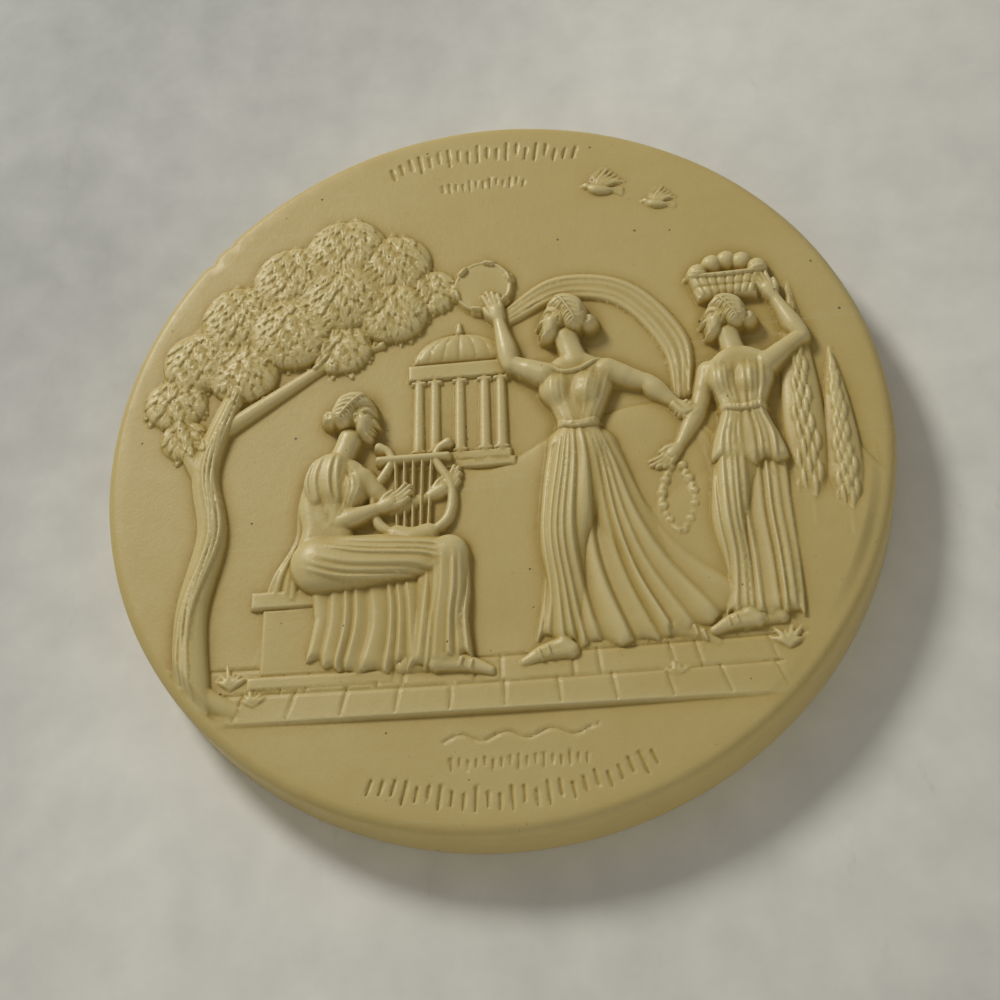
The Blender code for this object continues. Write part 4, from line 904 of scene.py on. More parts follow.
def hills(field):
    """Two lines of low hills and a pair of cypresses, fading out towards the floor."""
    for x, z, high, wide in ((84, -24, 66, 5.6), (93, -28, 48, 4.6)):
        stroke(field, [(x, z + 4, 1.0, 0.6), (x, z - 8, 1.3, 0.6)], 0.7, 0.4)
        shape = [(x, z, wide * 0.6, 0.2), (x, z + high * 0.25, wide, 0.4),
                 (x, z + high * 0.65, wide * 0.7, 0.4), (x, z + high, 0.5, 0.0)]
        stroke(field, shape, 0.4, 0.2)
        cypress_sprays(field, x, z, high, wide)
    low = GROUND_LINE + 6
    far_hill = [(-50, -34), (-38, -14), (-20, -3), (0, -8), (20, 2), (44, 8), (66, 2), (84, -8), (100, -14),
                (112, low), (-50, low)]
    near_hill = [(28, -40), (44, -22), (62, -12), (80, -18), (112, -34), (112, low), (20, low)]
    swell(field, ring_spline(far_hill, 6), 0.1, 0.9, 9, 0.3)
    swell(field, ring_spline(near_hill, 6), 0.5, 0.9, 8, 0.3)
    field.z *= smooth_step((field.y[:, None] - (GROUND_LINE + 12)) / 30)


def cypress_sprays(field, x, z, high, wide):
    """The upright sprays of a cypress, scattered evenly up its height."""
    smooth = field.z.copy()
    sprays = 34
    for k in range(sprays):
        up = k / sprays
        side = wide * 0.8 * (0.9 - 0.75 * up) * (2 * ((k * 0.618) % 1) - 1)
        foot_z = z + high * 0.9 * up
        spray = [(x + side * 0.8, foot_z - 2, 0.5, -0.1), (x + side, foot_z + 1.5, 0.75, 0.1),
                 (x + side * 0.8, foot_z + 5, 0.3, -0.2)]
        stroke(field, spray, 0.8, 0.05, 3, smooth)


def temple(field, x, z, half_width):
    """A small round temple: two steps, a ring of columns, an entablature and a dome."""
    w = half_width
    block(field, x - w - 2.2, x + w + 2.2, z, z + 2.6, 0.5, 0.6, 0.6)
    block(field, x - w - 1, x + w + 1, z + 2.4, z + 5, 0.7, 0.6, 0.6)
    block(field, x - w, x + w, z + 4.8, z + 28, -0.3, 0.7, 0.8)
    for k in range(5):
        column = x + w * 0.88 * math.sin((k - 2) * 0.6) / math.sin(1.2)
        stroke(field, [(column, z + 6, 1.6, 0.5), (column, z + 27, 1.3, 0.5)], 0.7, 0.05, 3)
        for end in (z + 5.6, z + 27.2):
            stroke(field, [(column - 1.5, end, 0.6, 0.9), (column + 1.5, end, 0.6, 0.9)], 0.9, 0.05, 2)
    block(field, x - w - 1.4, x + w + 1.4, z + 28, z + 33, 0.6, 0.8, 0.7)
    turns = np.linspace(0, math.pi, 17)
    dome = [(x + w * math.cos(a), z + 33.2 + w * 0.72 * math.sin(a)) for a in turns]
    swell(field, dome, 0.3, 1.5, 5, 0.05)
    for k in range(-3, 4):
        rib = [(x + w * math.sin(k * 0.36) * math.cos(a), z + 33.2 + w * 0.72 * math.sin(a), 0.4)
               for a in np.linspace(0.1, math.pi / 2, 6)]
        press(field, rib, -0.22, 3)
    stroke(field, [(x, z + 43, 1.0, 0.6), (x, z + 45.5, 0.5, 0.6)], 0.9, 0.05, 2)


def birds(field):
    """Two birds flying over the figures."""
    for x, z, s in ((34, 80, 1.0), (50, 73, 0.8)):
        f = Frame(x, z, s, -1, 6)
        far_wing = [(0.6, 0.6, 1.0, -0.1), (2.0, 3.6, 1.3, -0.1), (0.4, 6.6, 0.9, -0.1),
                    (-1.4, 8.4, 0.3, -0.1)]
        stroke(field, f.rows(far_wing), 0.4, 0.1, 5)
        for spread in (-0.9, 0.0, 0.9):
            tail = [(-3.0, 0, 0.7, 0.1), (-6.4, spread - 0.6, 0.55, 0.0)]
            stroke(field, f.rows(tail), 0.6, 0.05, 3)
        body = [(-4.0, -0.2, 0.6, 0.1), (-1.4, -0.3, 1.3, 0.2), (1.4, 0, 1.5, 0.3), (3.3, 0.9, 0.9, 0.3),
                (4.3, 1.3, 0.95, 0.3), (5.6, 1.2, 0.25, 0.1)]
        stroke(field, f.rows(body), 0.8, 0.1, 5)
        for k in range(5):
            feather = [(1.2 - 0.55 * k, 0.7, 0.55, 0.4), (0.4 - 1.0 * k, 3.6 - 0.3 * k, 0.75, 0.3),
                       (-1.8 - 1.25 * k, 7.4 - 1.15 * k, 0.4, 0.0)]
            stroke(field, f.rows(feather), 0.8, 0.05, 4)


def paving(field):
    """Joints between flagstones, drawn towards the distance."""
    for z0, reach in ((GROUND_LINE + 8, 72), (GROUND_LINE + 15, 78)):
        press(field, [(-reach, z0, 0.55), (0, z0 - 0.6, 0.55), (reach, z0 + 0.3, 0.55)], -0.28, 10)
    for k in range(-5, 6):
        front = k * 14.0 + 3
        back = k * 12.6 + 6 * (k % 2) + 2
        press(field, [(front, GROUND_LINE + 1, 0.5), (front * 0.96, GROUND_LINE + 8, 0.5)], -0.28, 4)
        press(field, [(back, GROUND_LINE + 8, 0.5), (back * 0.97, GROUND_LINE + 15, 0.45)], -0.25, 4)


def tufts(field):
    """Grass at the foot of the scene."""
    for x, z, size in ((-62, -71, 5), (46, -70, 5), (74, -64, 6), (-10, -71, 5), (-68, -66, 6)):
        for k in range(6):
            out = direction(90 + 22 * (k - 2.5)) * size * (0.9 + 0.2 * math.sin(k * 2.2 + x))
            droop = 0.048 * size * abs(k - 2.5)
            blade = [(x, z, 0.7, 0.2), (x + out[0] / 2, z + out[1] / 2, 0.75, 0.4),
                     (x + out[0], z + out[1] - droop, 0.3, 0.0)]
            stroke(field, blade, 1.0, 0.05, 4)


def floor(field):
    """Ground that rises to a straight ledge, whose step dies out at its ends, with a flat segment below."""
    x, z = np.meshgrid(field.x, field.y)
    taper = np.clip(1 - (x / 84) ** 2, 0, 1)
    bank = smooth_step((GROUND_LINE + FLOOR_DEPTH - z) / FLOOR_DEPTH)
    step = smooth_step((z - GROUND_LINE + 0.6) / 1.2)
    ledge = LEDGE_HEIGHT / RELIEF_HEIGHT * DRAWN_HEIGHT
    field.z += ledge * taper * bank * step


# Rows of cut marks that spell nothing

def arc(radius, start, stop):
    """Points on an arc round the plaque's centre, between two angles in degrees."""
    return np.array([radius * direction(a) for a in np.linspace(start, stop, 25)])


def mark_row(field, path, height, gap, depth, seed):
    """A row of short upright wedges cut along a path, each broad at the top, in no order of length."""
    path = np.asarray(path, float)
    lengths = np.hypot(*np.diff(path, axis=0).T)
    ends = np.concatenate([[0], np.cumsum(lengths)])
    count = int(ends[-1] / gap)
    for k in range(count):
        s = (k + 0.5) * gap + 0.5 * (ends[-1] - count * gap)
        i = min(np.searchsorted(ends, s) - 1, len(path) - 2)
        ahead = (path[i + 1] - path[i]) / lengths[i]
        place = path[i] + ahead * (s - ends[i])
        up = np.array([-ahead[1], ahead[0]]) * height
        low, high = ((-0.5, 0.5), (-0.45, 0.2), (-0.2, 0.45), (-0.3, 0.3))[int(2.6 * k + seed) % 4]
        press(field, [(*(place + up * low), 0.3), (*(place + up * high), 0.62)], -depth, 4)


def mark_rows(field):
    """Two rows over the scene, and a waved line and two rows below the ledge."""
    mark_row(field, arc(97.5, 107.5, 73), 6.0, 2.9, 0.5, 1.0)
    mark_row(field, arc(86.5, 99.5, 81), 3.2, 2.0, 0.4, 2.0)
    wave = [(x, -82.3 + math.sin(0.55 * x) + 0.02 * x, 0.32) for x in np.linspace(-13, 26, 60)]
    press(field, wave, -0.3, 2)
    mark_row(field, [(-12, -89.2), (24, -89.0)], 3.2, 2.1, 0.4, 4.0)
    mark_row(field, arc(98.3, 250.5, 294.5), 6.0, 3.0, 0.5, 5.0)


def carve(field):
    """Draws the whole scene as heights above the ground."""
    hills(field)
    temple(field, -8, -7, 13)
    birds(field)
    floor(field)
    paving(field)
    tree(field)
    musician(field, -42, GROUND_LINE + 9, 104, 1)
    dancer(field, 24, GROUND_LINE + 11, 106, -1)
    bearer(field, 68, GROUND_LINE + 16, 96, -1)
    tufts(field)
    mark_rows(field)


def carving():
    """The whole scene, and again at a finer step in each fine place."""
    fields = [Field()] + [Field(centre, half, FINE_RASTER) for centre, half in FINE_PLACES]
    for field in fields:
        carve(field)
    return fields


def sampled(fields, x, z):
    """The heights at any points, from the finest raster that holds each."""
    out = fields[0].height(x, z)
    for field in fields[1:]:
        near = np.maximum(np.abs(x - field.low[0] - field.half), np.abs(z - field.low[1] - field.half))
        share = smooth_step((field.half - near) / 2)
        out = out + (field.height(x, z) - out) * share
    return out


# The casting

def face_radius():
    """Where the flat of the face ends and the rounding of the rim begins."""
    return DIAMETER / 2 - RIM_THICKNESS * math.tan(RIM_DRAFT) - RIM_ROUNDING


def hollow_map(field):
    """How far each point lies below its surroundings, near and wide, from -1 on crests to 1 in hollows."""
    mapped = Field(field.low + field.half, field.half, field.step)
    mapped.z = np.tanh(sum(weight * (blurred(field.z, round(reach / field.step)) - field.z)
                           for reach, weight in HOLLOW_REACHES))
    return mapped


def hollowness(fields, x, z):
    """The hollow map's values at x and z, in metres."""
    return sampled([hollow_map(field) for field in fields], x * DRAWN_PER_METRE, z * DRAWN_PER_METRE)


def surface_depth(fields, x, z):
    """How far the carved surface stands out from the back at x and z, in metres."""
    radius = face_radius()
    distance = np.hypot(x, z)
    fade = smooth_step((radius - distance) / BORDER_WIDTH)
    relief = sampled(fields, x * DRAWN_PER_METRE, z * DRAWN_PER_METRE) * RELIEF_HEIGHT / DRAWN_HEIGHT
    dish = DISH_DEPTH * np.clip(1 - (distance / radius) ** 2, 0, 1)
    return RIM_THICKNESS + relief * fade - dish


def square_to_disc(u, v):
    """Maps the square from -1 to 1 onto the unit disc, ring by ring."""
    reach = np.maximum(np.abs(u), np.abs(v))
    sideways = np.abs(u) >= np.abs(v)
    turn = np.where(sideways, v / np.where(u == 0, 1, u), 2 * np.sign(v) - u / np.where(v == 0, 1, v))
    turn = (turn + np.where(sideways & (u < 0), 4, 0)) * math.pi / 4
    turn = np.where(~sideways & (v < 0), (-2 - u / np.where(v == 0, 1, v)) * math.pi / 4, turn)
    return reach * np.cos(turn), reach * np.sin(turn)


def even_turns(count):
    """Even angles once round, in radians."""
    return 2 * math.pi * np.arange(count) / count


def ring_points(turns, radius, depth):
    """Points round the plaque's axis, each by its angle, its radius and how far it stands out."""
    return np.column_stack([radius * np.cos(turns), -depth * np.ones(len(turns)), radius * np.sin(turns)])


def coordinates(mesh):
    """The mesh's points as rows of x, y and z."""
    points = np.empty(3 * len(mesh.vertices))
    mesh.vertices.foreach_get("co", points)
    return points.reshape(-1, 3)


def placed(name, data):
    """A new object in the scene that holds the data."""
    thing = bpy.data.objects.new(name, data)
    bpy.context.scene.collection.objects.link(thing)
    return thing


def by_angle(points, loop, centre_z=0.0):
    """The loop's points in turn round an axis at centre_z, and their angles."""
    turns = np.round(np.arctan2(points[loop, 2] - centre_z, points[loop, 0]), 9) % (2 * math.pi)
    order = np.argsort(turns)
    return np.asarray(loop)[order].tolist(), turns[order]


def joined(points, inner, outer, centre_z=0.0):
    """Triangles between two loops, each followed round by angle."""
    inner, inner_turns = by_angle(points, inner, centre_z)
    outer, outer_turns = by_angle(points, outer, centre_z)
    inner_turns = np.append(inner_turns, inner_turns[0] + 2 * math.pi)
    outer_turns = np.append(outer_turns, outer_turns[0] + 2 * math.pi)
    triangles = []
    i = k = 0
    while i < len(inner) or k < len(outer):
        here, there = inner[i % len(inner)], outer[k % len(outer)]
        if k == len(outer) or (i < len(inner) and inner_turns[i + 1] <= outer_turns[k + 1]):
            triangles.append((here, inner[(i + 1) % len(inner)], there))
            i += 1
        else:
            triangles.append((here, outer[(k + 1) % len(outer)], there))
            k += 1
    return triangles


def drawn_together(x, z):
    """Moves points of the face towards each fine place, so that the mesh is denser there."""
    for (centre_x, centre_z), half in FINE_PLACES:
        away_x, away_z = x - centre_x / DRAWN_PER_METRE, z - centre_z / DRAWN_PER_METRE
        share = np.hypot(away_x, away_z) / (PULL_REACH * half / DRAWN_PER_METRE)
        pull = PULL * np.clip(1 - share ** 2, 0, 1) ** 2
        x, z = x - away_x * pull, z - away_z * pull
    return x, z


def new_mesh(points, quads, triangles):
    """A mesh from arrays of points, quads and triangles."""
    mesh = bpy.data.meshes.new("carved_surface")
    mesh.vertices.add(len(points))
    mesh.vertices.foreach_set("co", np.asarray(points, np.float32).ravel())
    corners = np.concatenate([np.ravel(quads), np.ravel(triangles)]).astype(np.int32)
    sizes = np.concatenate([np.full(len(quads), 4), np.full(len(triangles), 3)]).astype(np.int32)
    mesh.loops.add(len(corners))
    mesh.loops.foreach_set("vertex_index", corners)
    mesh.polygons.add(len(sizes))
    mesh.polygons.foreach_set("loop_start", (np.cumsum(sizes) - sizes).astype(np.int32))
    mesh.update(calc_edges=True)
    return mesh


def carved_surface(fields):
    """The open carved surface as a mesh, with an even ring of RIM_SEGMENTS points for its border.

    It is thinned with the hollows deepened, so that enough triangles stay where the patina changes, and each
    point is then put back on the drawn surface.
    """
    n = SURFACE_DIVISIONS
    line = np.linspace(-1, 1, n + 1)
    u, v = (grid.ravel() for grid in np.meshgrid(line, line))
    x, z = square_to_disc(u, v)
    inner = face_radius() - BORDER_WIDTH / 4
    x, z = drawn_together(x * inner, z * inner)
    corner = (np.arange(n)[:, None] * (n + 1) + np.arange(n)).ravel()
    quads = np.column_stack([corner, corner + 1, corner + n + 2, corner + n + 1])
    low = np.arange(n)
    border = np.concatenate([low, low * (n + 1) + n, (n + 1) ** 2 - 1 - low, (n - low) * (n + 1)])
    depth = surface_depth(fields, x, z)
    guide = HOLLOW_WEIGHT * smooth_step((inner - np.hypot(x, z)) / BORDER_WIDTH)
    guided = depth + guide * hollowness(fields, x, z)
    edge = ring_points(even_turns(RIM_SEGMENTS), face_radius(), RIM_THICKNESS)
    points = np.vstack([np.column_stack([x, -guided, z]), edge])
    ring = np.arange(len(x), len(points))
    thin = thinned(new_mesh(points, quads, joined(points, border, ring)))
    settled = coordinates(thin)
    within = np.hypot(settled[:, 0], settled[:, 2]) < inner
    drawn = surface_depth(fields, settled[:, 0], settled[:, 2])
    settled[:, 1] = np.where(within, -drawn, settled[:, 1])
    thin.vertices.foreach_set("co", settled.ravel())
    return thin


def thinned(mesh):
    """The surface with its triangles spent where it bends, and its border left as it is."""
    shell = placed("carved_surface", mesh)
    inside = shell.vertex_groups.new(name="inside")
    inside.add(list(range(len(mesh.vertices) - RIM_SEGMENTS)), 1.0, "REPLACE")
    thin = shell.modifiers.new("Thin", "DECIMATE")
    thin.vertex_group = "inside"
    thin.vertex_group_factor = 1.0
    thin.ratio = SURFACE_TRIANGLES / (2 * SURFACE_DIVISIONS ** 2)
    thin.use_collapse_triangulate = True
    evaluated = shell.evaluated_get(bpy.context.evaluated_depsgraph_get())
    result = bpy.data.meshes.new_from_object(evaluated)
    bpy.data.objects.remove(shell)
    bpy.data.meshes.remove(mesh)
    return result


def rim_profile():
    """Radius and distance out from the back, from the face's edge round the rim and onto the back."""
    front = face_radius()
    draft = math.tan(RIM_DRAFT)
    rounding = []
    for a in np.linspace(0, math.pi / 2, ROUNDING_SEGMENTS + 1)[1:]:
        depth = RIM_THICKNESS - RIM_ROUNDING * (1 - math.cos(a))
        rounding.append((front + RIM_ROUNDING * math.sin(a) + draft * (RIM_THICKNESS - depth), depth))
    depths = np.linspace(rounding[-1][1], BACK_BEVEL, SIDE_ROWS)
    side = [(DIAMETER / 2 - draft * depth, depth) for depth in depths]
    bevel = [(DIAMETER / 2 - BACK_BEVEL * (1 - math.cos(a)), BACK_BEVEL * (1 - math.sin(a)))
             for a in np.linspace(0, math.pi / 2, 4)[1:]]
    return rounding + side[1:] + bevel + [(DIAMETER / 2 - 3 * BACK_BEVEL, 0.0)]


def rim_row(radius, depth):
    """One row round the rim, a little uneven as if finished by hand, with two chips at the upper left."""
    turns = even_turns(RIM_SEGMENTS)
    share = smooth_step((radius - face_radius()) / 0.002) * smooth_step(depth / 0.001)
    waves = np.sin(3 * turns + 1.0) + 0.7 * np.sin(7 * turns + 180 * depth)
    waves += 0.5 * np.sin(19 * turns + 90 * depth + 2)
    radii = radius + RIM_UNEVENNESS * share * waves / 2.2
    depths = np.full(RIM_SEGMENTS, depth)
    for angle, size, at in RIM_CHIPS:
        off = (turns - math.radians(angle) + math.pi) % (2 * math.pi) - math.pi
        reach = np.hypot(off * radius / size, (depth - at) / size)
        bite = size * 0.35 * np.clip(1 - reach ** 2, 0, 1)
        radii -= 0.8 * bite
        depths -= 0.6 * bite
    return ring_points(turns, radii, depths)


def pocket_loop(grow, depth):
    """The pocket's outline, grown outwards, at a depth into the back."""
    half_w, half_h = POCKET_WIDTH / 2 + grow, POCKET_HEIGHT / 2 + grow
    t = np.linspace(-1, 1, POCKET_SEGMENTS // 4 + 1)[:-1]
    end = np.ones(len(t))
    across = np.concatenate([t, end, -t, -end]) * half_w
    up = np.concatenate([-end, t, end, -t]) * half_h + POCKET_MIDDLE
    return np.column_stack([across, np.full(POCKET_SEGMENTS, -depth), up])


def casting(fields):
    """The closed casting: the carved surface, the rim turned down from its border, the back, the pocket."""
    surface = carved_surface(fields)
    points = coordinates(surface)
    corners = np.empty(len(surface.loops), int)
    surface.loops.foreach_get("vertex_index", corners)
    faces = corners.reshape(-1, 3).tolist()
    bpy.data.meshes.remove(surface)
    on_ring = np.abs(np.hypot(points[:, 0], points[:, 2]) - face_radius()) < 1e-5
    last = by_angle(points, np.flatnonzero(on_ring))[0]
    rows = [rim_row(*row) for row in rim_profile()] + [pocket_loop(*row) for row in POCKET_ROWS]
    for row in rows:
        ring = (len(points) + np.arange(len(row))).tolist()
        points = np.vstack([points, row])
        same = len(ring) == len(last)
        faces += bridge(last, ring) if same else joined(points, ring, last, POCKET_MIDDLE)
        last = ring
    faces.append(tuple(last))
    mesh = bpy.data.meshes.new("plaque")
    mesh.from_pydata(points, [], faces)
    bm = bmesh.new()
    bm.from_mesh(mesh)
    bmesh.ops.recalc_face_normals(bm, faces=bm.faces)
    bm.to_mesh(mesh)
    bm.free()
    return mesh


def bridge(first, second):
    """Quads between two loops of the same count."""
    return [(first[k], first[(k + 1) % len(first)], second[(k + 1) % len(first)], second[k])
            for k in range(len(first))]


def paint_hollows(mesh, fields):
    """Stores on each vertex how deep it lies in the carving, for the patina."""
    x, y, z = coordinates(mesh).T
    carved = (-y > RIM_THICKNESS / 2) & (np.hypot(x, z) < face_radius())
    hollow = mesh.attributes.new("hollow", "FLOAT", "POINT")
    hollow.data.foreach_set("value", np.where(carved, hollowness(fields, x, z), 0.0))


def set_normals(mesh, fields):
    """Shades the carved side by the drawing's own slopes, so that thin triangles leave no creases."""
    x, y, z = coordinates(mesh).T
    step = NORMAL_STEP
    slope_x = (surface_depth(fields, x + step, z) - surface_depth(fields, x - step, z)) / (2 * step)
    slope_z = (surface_depth(fields, x, z + step) - surface_depth(fields, x, z - step)) / (2 * step)
    normals = np.column_stack([-slope_x, np.full(len(x), -1.0), -slope_z])
    normals /= np.linalg.norm(normals, axis=1)[:, None]
    carved = (-y > RIM_THICKNESS / 2) & (np.hypot(x, z) < face_radius() - BORDER_WIDTH / 8)
    mesh.normals_split_custom_set_from_vertices(np.where(carved[:, None], normals, 0.0).tolist())


# Materials

class Nodes:
    """Short calls for the nodes of one material."""

    def __init__(self, name):
        self.material = bpy.data.materials.new(name)
        self.material.use_nodes = True
        self.tree = self.material.node_tree
        self.tree.nodes.clear()

    def add(self, kind, **settings):
        """A node, with its properties set by name."""
        node = self.tree.nodes.new(kind)
        for key, value in settings.items():
            setattr(node, key, value)
        return node

    def link(self, source, target):
        """Joins an output to an input."""
        self.tree.links.new(source, target)

    def number(self, target, value):
        """Feeds an input from a socket or sets it to a number."""
        if isinstance(value, (int, float)):
            target.default_value = value
        else:
            self.link(value, target)

    def math(self, operation, a, b=0.0, c=0.0):
        """A Math node's result."""
        node = self.add("ShaderNodeMath", operation=operation)
        for target, value in zip(node.inputs, (a, b, c)):
            self.number(target, value)
        return node.outputs[0]

    def noise(self, vector, scale, detail=3.0, roughness=0.5):
        """A noise between 0 and 1."""
        node = self.add("ShaderNodeTexNoise")
        self.link(vector, node.inputs["Vector"])
        node.inputs["Scale"].default_value = scale
        node.inputs["Detail"].default_value = detail
        node.inputs["Roughness"].default_value = roughness
        return node.outputs["Fac"]

    def band(self, value, low, high, start=0.0, stop=1.0):
        """Value mapped from low..high to start..stop and held there."""
        node = self.add("ShaderNodeMapRange", interpolation_type="SMOOTHSTEP")
        self.link(value, node.inputs["Value"])
        for name, number in (("From Min", low), ("From Max", high), ("To Min", start), ("To Max", stop)):
            node.inputs[name].default_value = number
        return node.outputs["Result"]

    def ramp(self, value, stops):
        """A colour ramp through stops of place and colour."""
        node = self.add("ShaderNodeValToRGB")
        elements = node.color_ramp.elements
        for k, (place, colour) in enumerate(stops):
            stop = elements[k] if k < 2 else elements.new(place)
            stop.position = place
            stop.color = (*colour, 1)
        self.link(value, node.inputs[0])
        return node.outputs[0]

    def mix(self, factor, a, b):
        """Two colours mixed by a factor."""
        node = self.add("ShaderNodeMix", data_type="RGBA", blend_type="MIX")
        self.number(node.inputs["Factor"], factor)
        for target, value in ((node.inputs["A"], a), (node.inputs["B"], b)):
            if isinstance(value, tuple):
                target.default_value = (*value, 1)
            else:
                self.link(value, target)
        return node.outputs["Result"]

    def cells(self, vector, scale):
        """How far a place is from the middle of its cell in a scatter of cells, and a chance for the cell."""
        node = self.add("ShaderNodeTexVoronoi")
        self.link(vector, node.inputs["Vector"])
        node.inputs["Scale"].default_value = scale
        chance = self.add("ShaderNodeSeparateColor")
        self.link(node.outputs["Color"], chance.inputs[0])
        return node.outputs["Distance"], chance.outputs[0]

    def principled(self, settings):
        """A Principled shader, each input of the settings set or fed from a socket."""
        node = self.add("ShaderNodeBsdfPrincipled")
        for name, value in settings.items():
            if isinstance(value, bpy.types.NodeSocket):
                self.link(value, node.inputs[name])
            else:
                node.inputs[name].default_value = value
        return node

    def finished(self, shader):
        """The material, with the shader for its surface."""
        self.link(shader.outputs[0], self.add("ShaderNodeOutputMaterial").inputs["Surface"])
        return self.material

    def stretched(self, scale):
        """The object's own coordinates in metres, stretched."""
        node = self.add("ShaderNodeMapping")
        self.link(self.add("ShaderNodeTexCoord").outputs["Object"], node.inputs["Vector"])
        node.inputs["Scale"].default_value = scale
        return node.outputs[0]


def cast_stone():
    """Cream cast stone under old wax: ochre in the hollows, paler where hands and cloths have rubbed it."""
    n = Nodes("cast_stone")
    place = n.stretched((1, 1, 1))
    hollow = n.add("ShaderNodeAttribute", attribute_name="hollow").outputs["Fac"]
    blotch = n.noise(place, BLOTCH_SCALE, 4, 0.55)
    patch = n.noise(place, PATCH_SCALE, 4, 0.6)
    grain = n.noise(place, GRAIN_SCALE, 2, 0.6)
    depth = n.math("MULTIPLY_ADD", hollow, 0.44, 0.42)
    depth = n.math("ADD", depth, n.math("MULTIPLY_ADD", blotch, 0.26, -0.13))
    depth = n.math("ADD", depth, n.math("MULTIPLY_ADD", patch, 0.20, -0.10))
    colour = n.ramp(depth, PATINA)
    streaks = n.band(n.noise(n.stretched(STREAK_SCALES), 1, 3, 0.6), 0.56, 0.72)
    streaked = n.band(n.noise(place, 16, 1, 0.5), 0.5, 0.62)
    streaks = n.math("MULTIPLY", n.math("MULTIPLY", streaks, streaked), 0.28)
    colour = n.mix(streaks, colour, STREAK)
    # Pinholes: each pit is dented in the bump and painted nearly black, as painted shade for the inside of
    # the hole
    away, chance = n.cells(place, PIT_SCALE)
    reach = n.band(chance, 0.5, 1.0, 0.0, 0.09)
    share = n.math("DIVIDE", away, n.math("MAXIMUM", reach, 0.001))
    pit = n.band(n.math("SUBTRACT", 1.0, share), 0.0, 0.5)
    colour = n.mix(n.math("MULTIPLY", pit, 0.8), colour, PIT_SHADE_AND_DIRT)
    # Specks: small dark dirt dots with no dent, in the same dark colour
    away, chance = n.cells(place, SPECK_SCALE)
    speck = n.math("MULTIPLY", n.band(away, 0.16, 0.04), n.band(chance, 0.80, 1.0, 0.0, 0.4))
    colour = n.mix(speck, colour, PIT_SHADE_AND_DIRT)
    colour = n.mix(n.math("MULTIPLY_ADD", grain, 0.16, -0.03), colour, GRAIN)

    height = n.math("MULTIPLY_ADD", grain, 0.35, n.math("MULTIPLY", n.noise(place, BUMP_SCALE, 3, 0.6), 0.5))
    height = n.math("SUBTRACT", height, n.math("MULTIPLY", pit, 1.6))
    bump = n.add("ShaderNodeBump")
    bump.inputs["Strength"].default_value = 0.55
    bump.inputs["Distance"].default_value = 0.00022
    n.link(height, bump.inputs["Height"])

    rough = n.math("MULTIPLY_ADD", patch, 0.16, 0.32)
    rough = n.math("MULTIPLY_ADD", hollow, 0.08, rough)
    rough = n.math("MULTIPLY_ADD", grain, 0.08, rough)
    return n.finished(n.principled({
        "Base Color": colour, "Roughness": rough, "Normal": bump.outputs[0], "Specular IOR Level": 0.42,
        "Subsurface Weight": 0.08, "Subsurface Radius": (1.0, 0.75, 0.4), "Subsurface Scale": 0.0022}))


def painted_wall():
    """A pale scuffed wall, darker at the upper left. Its back is clear, to show the plaque's back."""
    n = Nodes("painted_wall")
    place = n.stretched((1, 1, 1))
    small = n.math("MULTIPLY_ADD", n.noise(place, 70, 3, 0.6), 0.14, 0.32)
    mottle = n.math("MULTIPLY_ADD", n.noise(place, 9, 4, 0.6), 0.22, small)
    ends = n.add("ShaderNodeSeparateXYZ")
    n.link(n.stretched((1.6, 1, -1)), ends.inputs[0])
    slope = n.band(n.math("ADD", ends.outputs[0], ends.outputs[2]), -0.38, -0.04, -0.16, 0.10)
    colour = n.ramp(n.math("ADD", mottle, slope), WALL_SHADES)
    scuffs = n.band(n.noise(n.stretched(SCUFF_SCALES), 1, 5, 0.75), 0.62, 0.74, 0.0, 0.3)
    shader = n.principled({"Base Color": n.mix(scuffs, colour, SCUFF), "Roughness": 0.6})
    clear = n.add("ShaderNodeBsdfTransparent")
    sides = n.add("ShaderNodeMixShader")
    n.link(n.add("ShaderNodeNewGeometry").outputs["Backfacing"], sides.inputs[0])
    n.link(shader.outputs[0], sides.inputs[1])
    n.link(clear.outputs[0], sides.inputs[2])
    return n.finished(sides)


# The scene

def sheet(name, points, faces, material):
    """A flat stage surface."""
    mesh = bpy.data.meshes.new(name)
    mesh.from_pydata(points, [], faces)
    mesh.materials.append(material)
    placed(name, mesh)


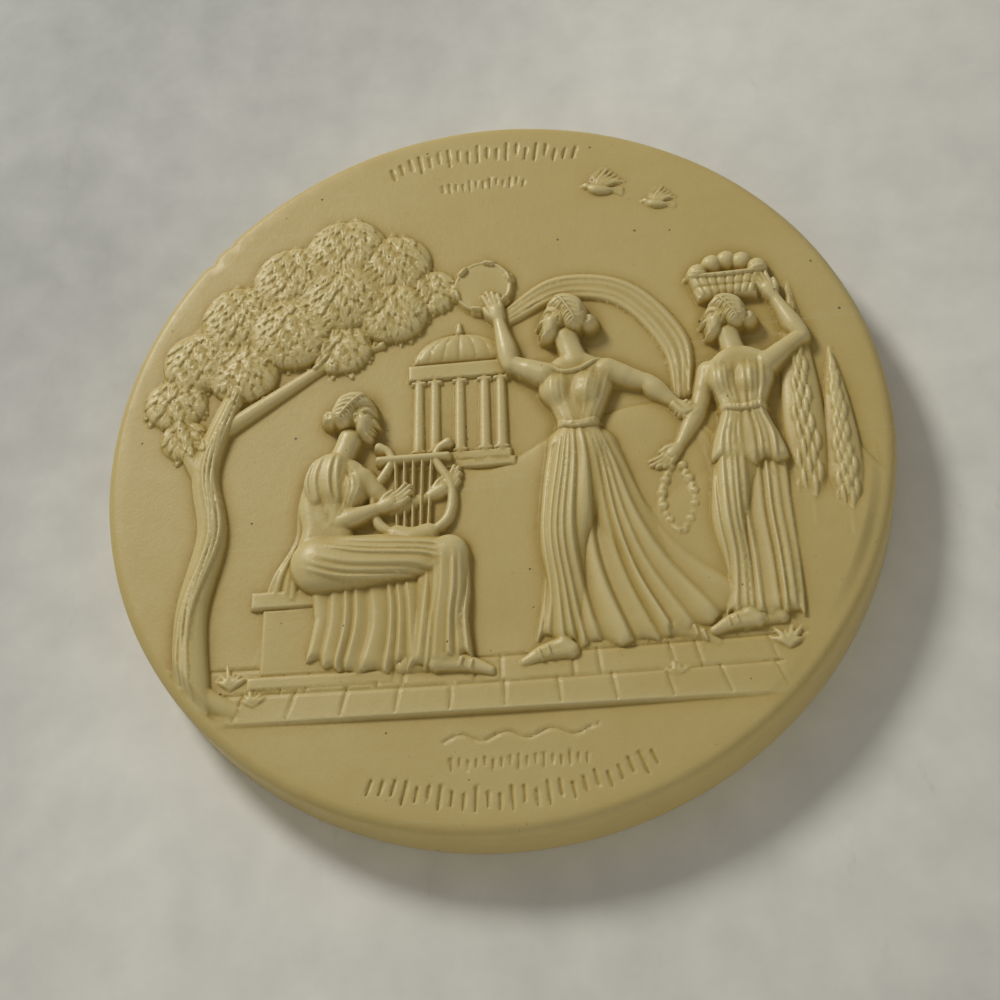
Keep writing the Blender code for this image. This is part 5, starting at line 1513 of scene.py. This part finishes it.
def stage():
    """The pale wall that the plaque hangs on, open behind the plaque, and a pale floor far below."""
    turns = even_turns(WALL_SEGMENTS)
    rings = np.vstack([ring_points(turns, reach, -WALL_GAP) for reach in (WALL_OPENING, WALL_REACH)])
    inner = list(range(WALL_SEGMENTS))
    outer = [k + WALL_SEGMENTS for k in inner]
    paint = painted_wall()
    sheet("wall", rings, bridge(outer, inner), paint)
    sheet("floor", FLOOR_CORNERS, [(0, 1, 2, 3)], paint)


def lights():
    """A soft key light from the upper left, a weak low fill and a soft light for the back."""
    for name, place, width, power, colour in LIGHTS:
        data = bpy.data.lights.new(name, "AREA")
        data.shape = "DISK"
        data.size = width
        data.energy = power
        data.color = colour
        light = placed(name, data)
        light.location = place
        light.rotation_euler = (-Vector(place)).to_track_quat("-Z", "Y").to_euler()
    world = bpy.data.worlds.new("studio")
    world.use_nodes = True
    background = world.node_tree.nodes["Background"]
    background.inputs["Color"].default_value = WORLD_COLOUR
    background.inputs["Strength"].default_value = WORLD_STRENGTH
    bpy.context.scene.world = world


def camera():
    """The photograph's view: from a little to the right and below."""
    az, el = CAMERA_AZIMUTH, CAMERA_ELEVATION
    back = Vector((math.sin(az) * math.cos(el), -math.cos(az) * math.cos(el), math.sin(el)))
    level = Vector((math.cos(az), math.sin(az), 0))
    rise = back.cross(level)
    right = level * math.cos(CAMERA_ROLL) + rise * math.sin(CAMERA_ROLL)
    up = rise * math.cos(CAMERA_ROLL) - level * math.sin(CAMERA_ROLL)
    aside, above = (offset * CAMERA_DISTANCE / FOCAL_PIXELS for offset in CENTRE_OFFSET_PIXELS)
    data = bpy.data.cameras.new("camera")
    data.sensor_width = SENSOR_WIDTH
    data.lens = FOCAL_PIXELS / IMAGE_SIZE * SENSOR_WIDTH
    data.clip_start = NEAR_CLIP
    thing = placed("camera", data)
    turn = Matrix((right, up, back)).transposed().to_4x4()
    thing.matrix_world = Matrix.Translation(back * CAMERA_DISTANCE - right * aside - up * above) @ turn
    bpy.context.scene.camera = thing


def main():
    """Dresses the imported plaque."""
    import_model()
    camera()
    lights()
    stage()
    fields = carving()
    mesh = casting(fields)
    paint_hollows(mesh, fields)
    mesh.shade_smooth()
    set_normals(mesh, fields)
    mesh.materials.append(cast_stone())
    plaque = placed("carved_plaque", mesh)
    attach(plaque, "root")
    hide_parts("relief_plaque")
    bpy.context.scene.view_settings.view_transform = "Standard"


main()
